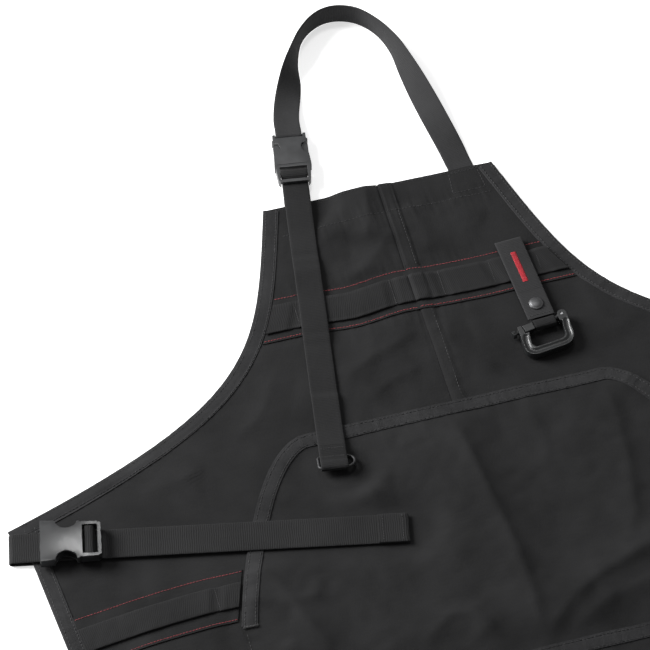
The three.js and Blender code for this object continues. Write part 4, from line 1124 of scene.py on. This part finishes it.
def moulding(name, look, body, origin, angle, bevel, step, shape):
    """A frame node with rounded edges, cut into small squares and shaped in its own directions."""
    stand_in = placed(name + "_start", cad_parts[name].data.copy())
    soften(stand_in, bevel)
    graph = bpy.context.evaluated_depsgraph_get()
    mesh = bpy.data.meshes.new_from_object(stand_in.evaluated_get(graph))
    bpy.data.objects.remove(stand_in)
    turn = Matrix.Rotation(angle, 4, "Z")
    to_world = Matrix.Translation(Vector(origin) * MM) @ turn @ Matrix.Scale(MM, 4)
    mesh.transform(to_world.inverted())
    work = bmesh.new()
    work.from_mesh(mesh)
    for axis in (0, 1):
        values = [v.co[axis] for v in work.verts]
        for at in np.arange(min(values) + step / 2, max(values), step):
            across = Vector((axis == 0, axis == 1, 0))
            parts = work.verts[:] + work.edges[:] + work.faces[:]
            bmesh.ops.bisect_plane(work, geom=parts, plane_co=across * at, plane_no=across, dist=0.0001)
    spots = np.array([v.co[:] for v in work.verts])
    for vert, spot in zip(work.verts, shape(spots)):
        vert.co = spot
    work.to_mesh(mesh)
    work.free()
    mesh.transform(to_world)
    mesh.materials.clear()
    dress(mesh, look, 42)
    made = placed(name + "_moulding", mesh)
    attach(made, body)
    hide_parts(name)


def domed(middle, half_long, half_wide, rise, top):
    """Raises the upper side into a soft crown."""

    def shape(spots):
        crown = np.clip(1 - ((spots[:, 0] - middle) / half_long) ** 2, 0, 1)
        crown = crown * np.clip(1 - (spots[:, 1] / half_wide) ** 2, 0, 1) ** 0.8
        spots[:, 2] += rise * crown * np.clip(spots[:, 2] / top, 0, 1)
        return spots

    return shape


def leaning(x, y):
    """The bow leans off square to its gate, as in the frame."""
    share = smooth(5, 14, -y)
    return x + 0.19 * y * share, y + 0.07 * (RING_PIVOT - x) * share


corner = np.radians(np.linspace(0, 90, 9))
bow_line = [(20.75, -8.0), (20.75, -15.0)]
bow_line += [(13.5 + 7.25 * math.cos(a), -22 - 7.25 * math.sin(a)) for a in corner]
bow_line += [(-13.5 - 7.25 * math.sin(a), -22 - 7.25 * math.cos(a)) for a in corner]
bow_line += [(-20.75, -15.0), (-20.75, -10.0)]
bow_line = np.array([leaning(x, y) for x, y in bow_line])


def channelled(spots):
    """Sinks a groove along the middle of the bow's band, above and below."""
    gap, _, _ = nearest(spots[:, 0], spots[:, 1], bow_line)
    face = np.sign(spots[:, 2]) * smooth(1.5, 3.0, np.abs(spots[:, 2]))
    spots[:, 2] -= 1.1 * face * smooth(2.3, 1.4, gap)
    return spots


def knurled(spots):
    """Ridges round the plunger's knob."""
    knob = (spots[:, 0] > -31.2) & (spots[:, 0] < -28.2)
    turn = np.arctan2(spots[:, 2], spots[:, 1])
    swell = 1 + 0.1 * knob * np.sin(9 * turn)
    spots[:, 1:] *= swell[:, None]
    return spots


def socket_shape(spots):
    """A crowned body, with the horns past the finger notches drawn in and the slotted end narrower."""
    spots = domed(15, 30, 20, 1.5, BUCKLE_HALF)(spots)
    far = spots[:, 0]
    outer = smooth(12, 16, np.abs(spots[:, 1]))
    drawn = 0.045 * smooth(27, 38, far) + 0.06 * np.exp(-(((far - 32) / 3) ** 2)) * outer
    spots[:, 1] *= 1 - drawn
    return spots


moulding("waist_socket", bright_plastic, "waist_socket_body", buckle_at, BELT_ANGLE, 0.8, 1.4, socket_shape)
moulding("neck_socket", satin_plastic, "apron", NECK_JOINT, NECK_UP, 0.6, 1.3, domed(14, 28, 17, 1.1, 4.0))
plug_shape = domed(-10, 22, 17, 0.5, 4.0)
moulding("neck_plug", satin_plastic, "neck_plug_body", NECK_JOINT, NECK_UP, 0.5, 1.3, plug_shape)
moulding("ring_bow", ring_plastic, "ring_bow_body", RING_AT, RING_ANGLE, 0.9, 0.8, channelled)
moulding("ring_plunger", ring_plastic, "ring_plunger_body", RING_AT, RING_ANGLE, 0.3, 0.6, knurled)
for name in ("neck_prong_left", "neck_prong_right"):
    finish_node(name, satin_plastic, 0.55)
for name in ("waist_plug", "waist_prong_left", "waist_prong_right"):
    finish_node(name, bright_plastic, 0.65)
finish_node("ring_gate", ring_plastic, 0.45)
for name in ("snap_socket", "snap_stud", "snap_back_rivet", "ring_pivot_pin", "ring_plunger_spring"):
    finish_node(name, steel, 0.12, 40)
finish_node("tail_d_ring", grey_metal, 0.05, 80)
SNAP = local(KEY_TOP, key_down, 76, 0, 0)
cap = [(0.02, 12.0), (1.8, 11.95), (3.4, 11.75), (4.6, 11.4), (5.3, 11.05), (5.5, 10.85)]
cap += [(6.2, 10.75), (6.6, 10.5), (6.75, 10.15), (6.6, 9.75), (1.75, 9.7), (1.7, 8.35), (0.02, 8.3)]
lathe("snap_cap_turned", cap, SNAP, dark_metal, "key_flap", "snap_cap")

# ---- floor, light and camera
mesh = bpy.data.meshes.new("floor")
corners = [(x * 6, y * 6, -0.0004) for x, y in ((-1, -1), (1, -1), (1, 1), (-1, 1))]
mesh.from_pydata(corners, [], [(0, 1, 2, 3)])
floor = placed("floor", mesh)
paper, tree, shader = material("pale_floor")
speck = grain(tree, node(tree, "TexCoord").outputs["Object"], 40.0)
ranged(tree, shader.inputs["Base Color"], speck, 0.3, 0.7, 0.9, 0.93)
shader.inputs["Roughness"].default_value = 0.8
shader.inputs["Emission Color"].default_value = (1.0, 1.0, 1.0, 1)
shader.inputs["Emission Strength"].default_value = 0.55
mesh.materials.append(paper)

world = bpy.data.worlds.new("studio")
bpy.context.scene.world = world
world.use_nodes = True
sky = world.node_tree.nodes["Background"]
sky.inputs["Color"].default_value = (1.0, 1.0, 1.0, 1)
sky.inputs["Strength"].default_value = 0.27


def softbox(name, place, size, power, aim=(0.0, 0.0, 0.0)):
    light = bpy.data.lights.new(name, "AREA")
    light.shape = "SQUARE"
    light.size = size
    light.energy = power
    lamp = placed(name, light)
    lamp.location = place
    lamp.rotation_mode = "QUATERNION"
    lamp.rotation_quaternion = (Vector(aim) - Vector(place)).to_track_quat("-Z", "Y")


softbox("key_softbox", (-2.3, 1.5, 1.6), 1.7, 215)
softbox("upper_softbox", (0.1, 1.3, 2.7), 0.45, 15)

lens = bpy.data.cameras.new("camera")
lens.sensor_width = 36.0
lens.lens = 221.5
lens.clip_start, lens.clip_end = 0.1, 50.0
camera = placed("camera", lens)
camera.location = (-0.6419, -1.8865, 3.0595)
right = Vector((0.96548, -0.26047, 0.0))
back = Vector((-0.14834, -0.54986, 0.82198))
upward = back.cross(right)
camera.rotation_mode = "QUATERNION"
camera.rotation_quaternion = Matrix((right, upward, back)).transposed().to_quaternion()
bpy.context.scene.camera = camera
bpy.context.scene.view_settings.view_transform = "Standard"
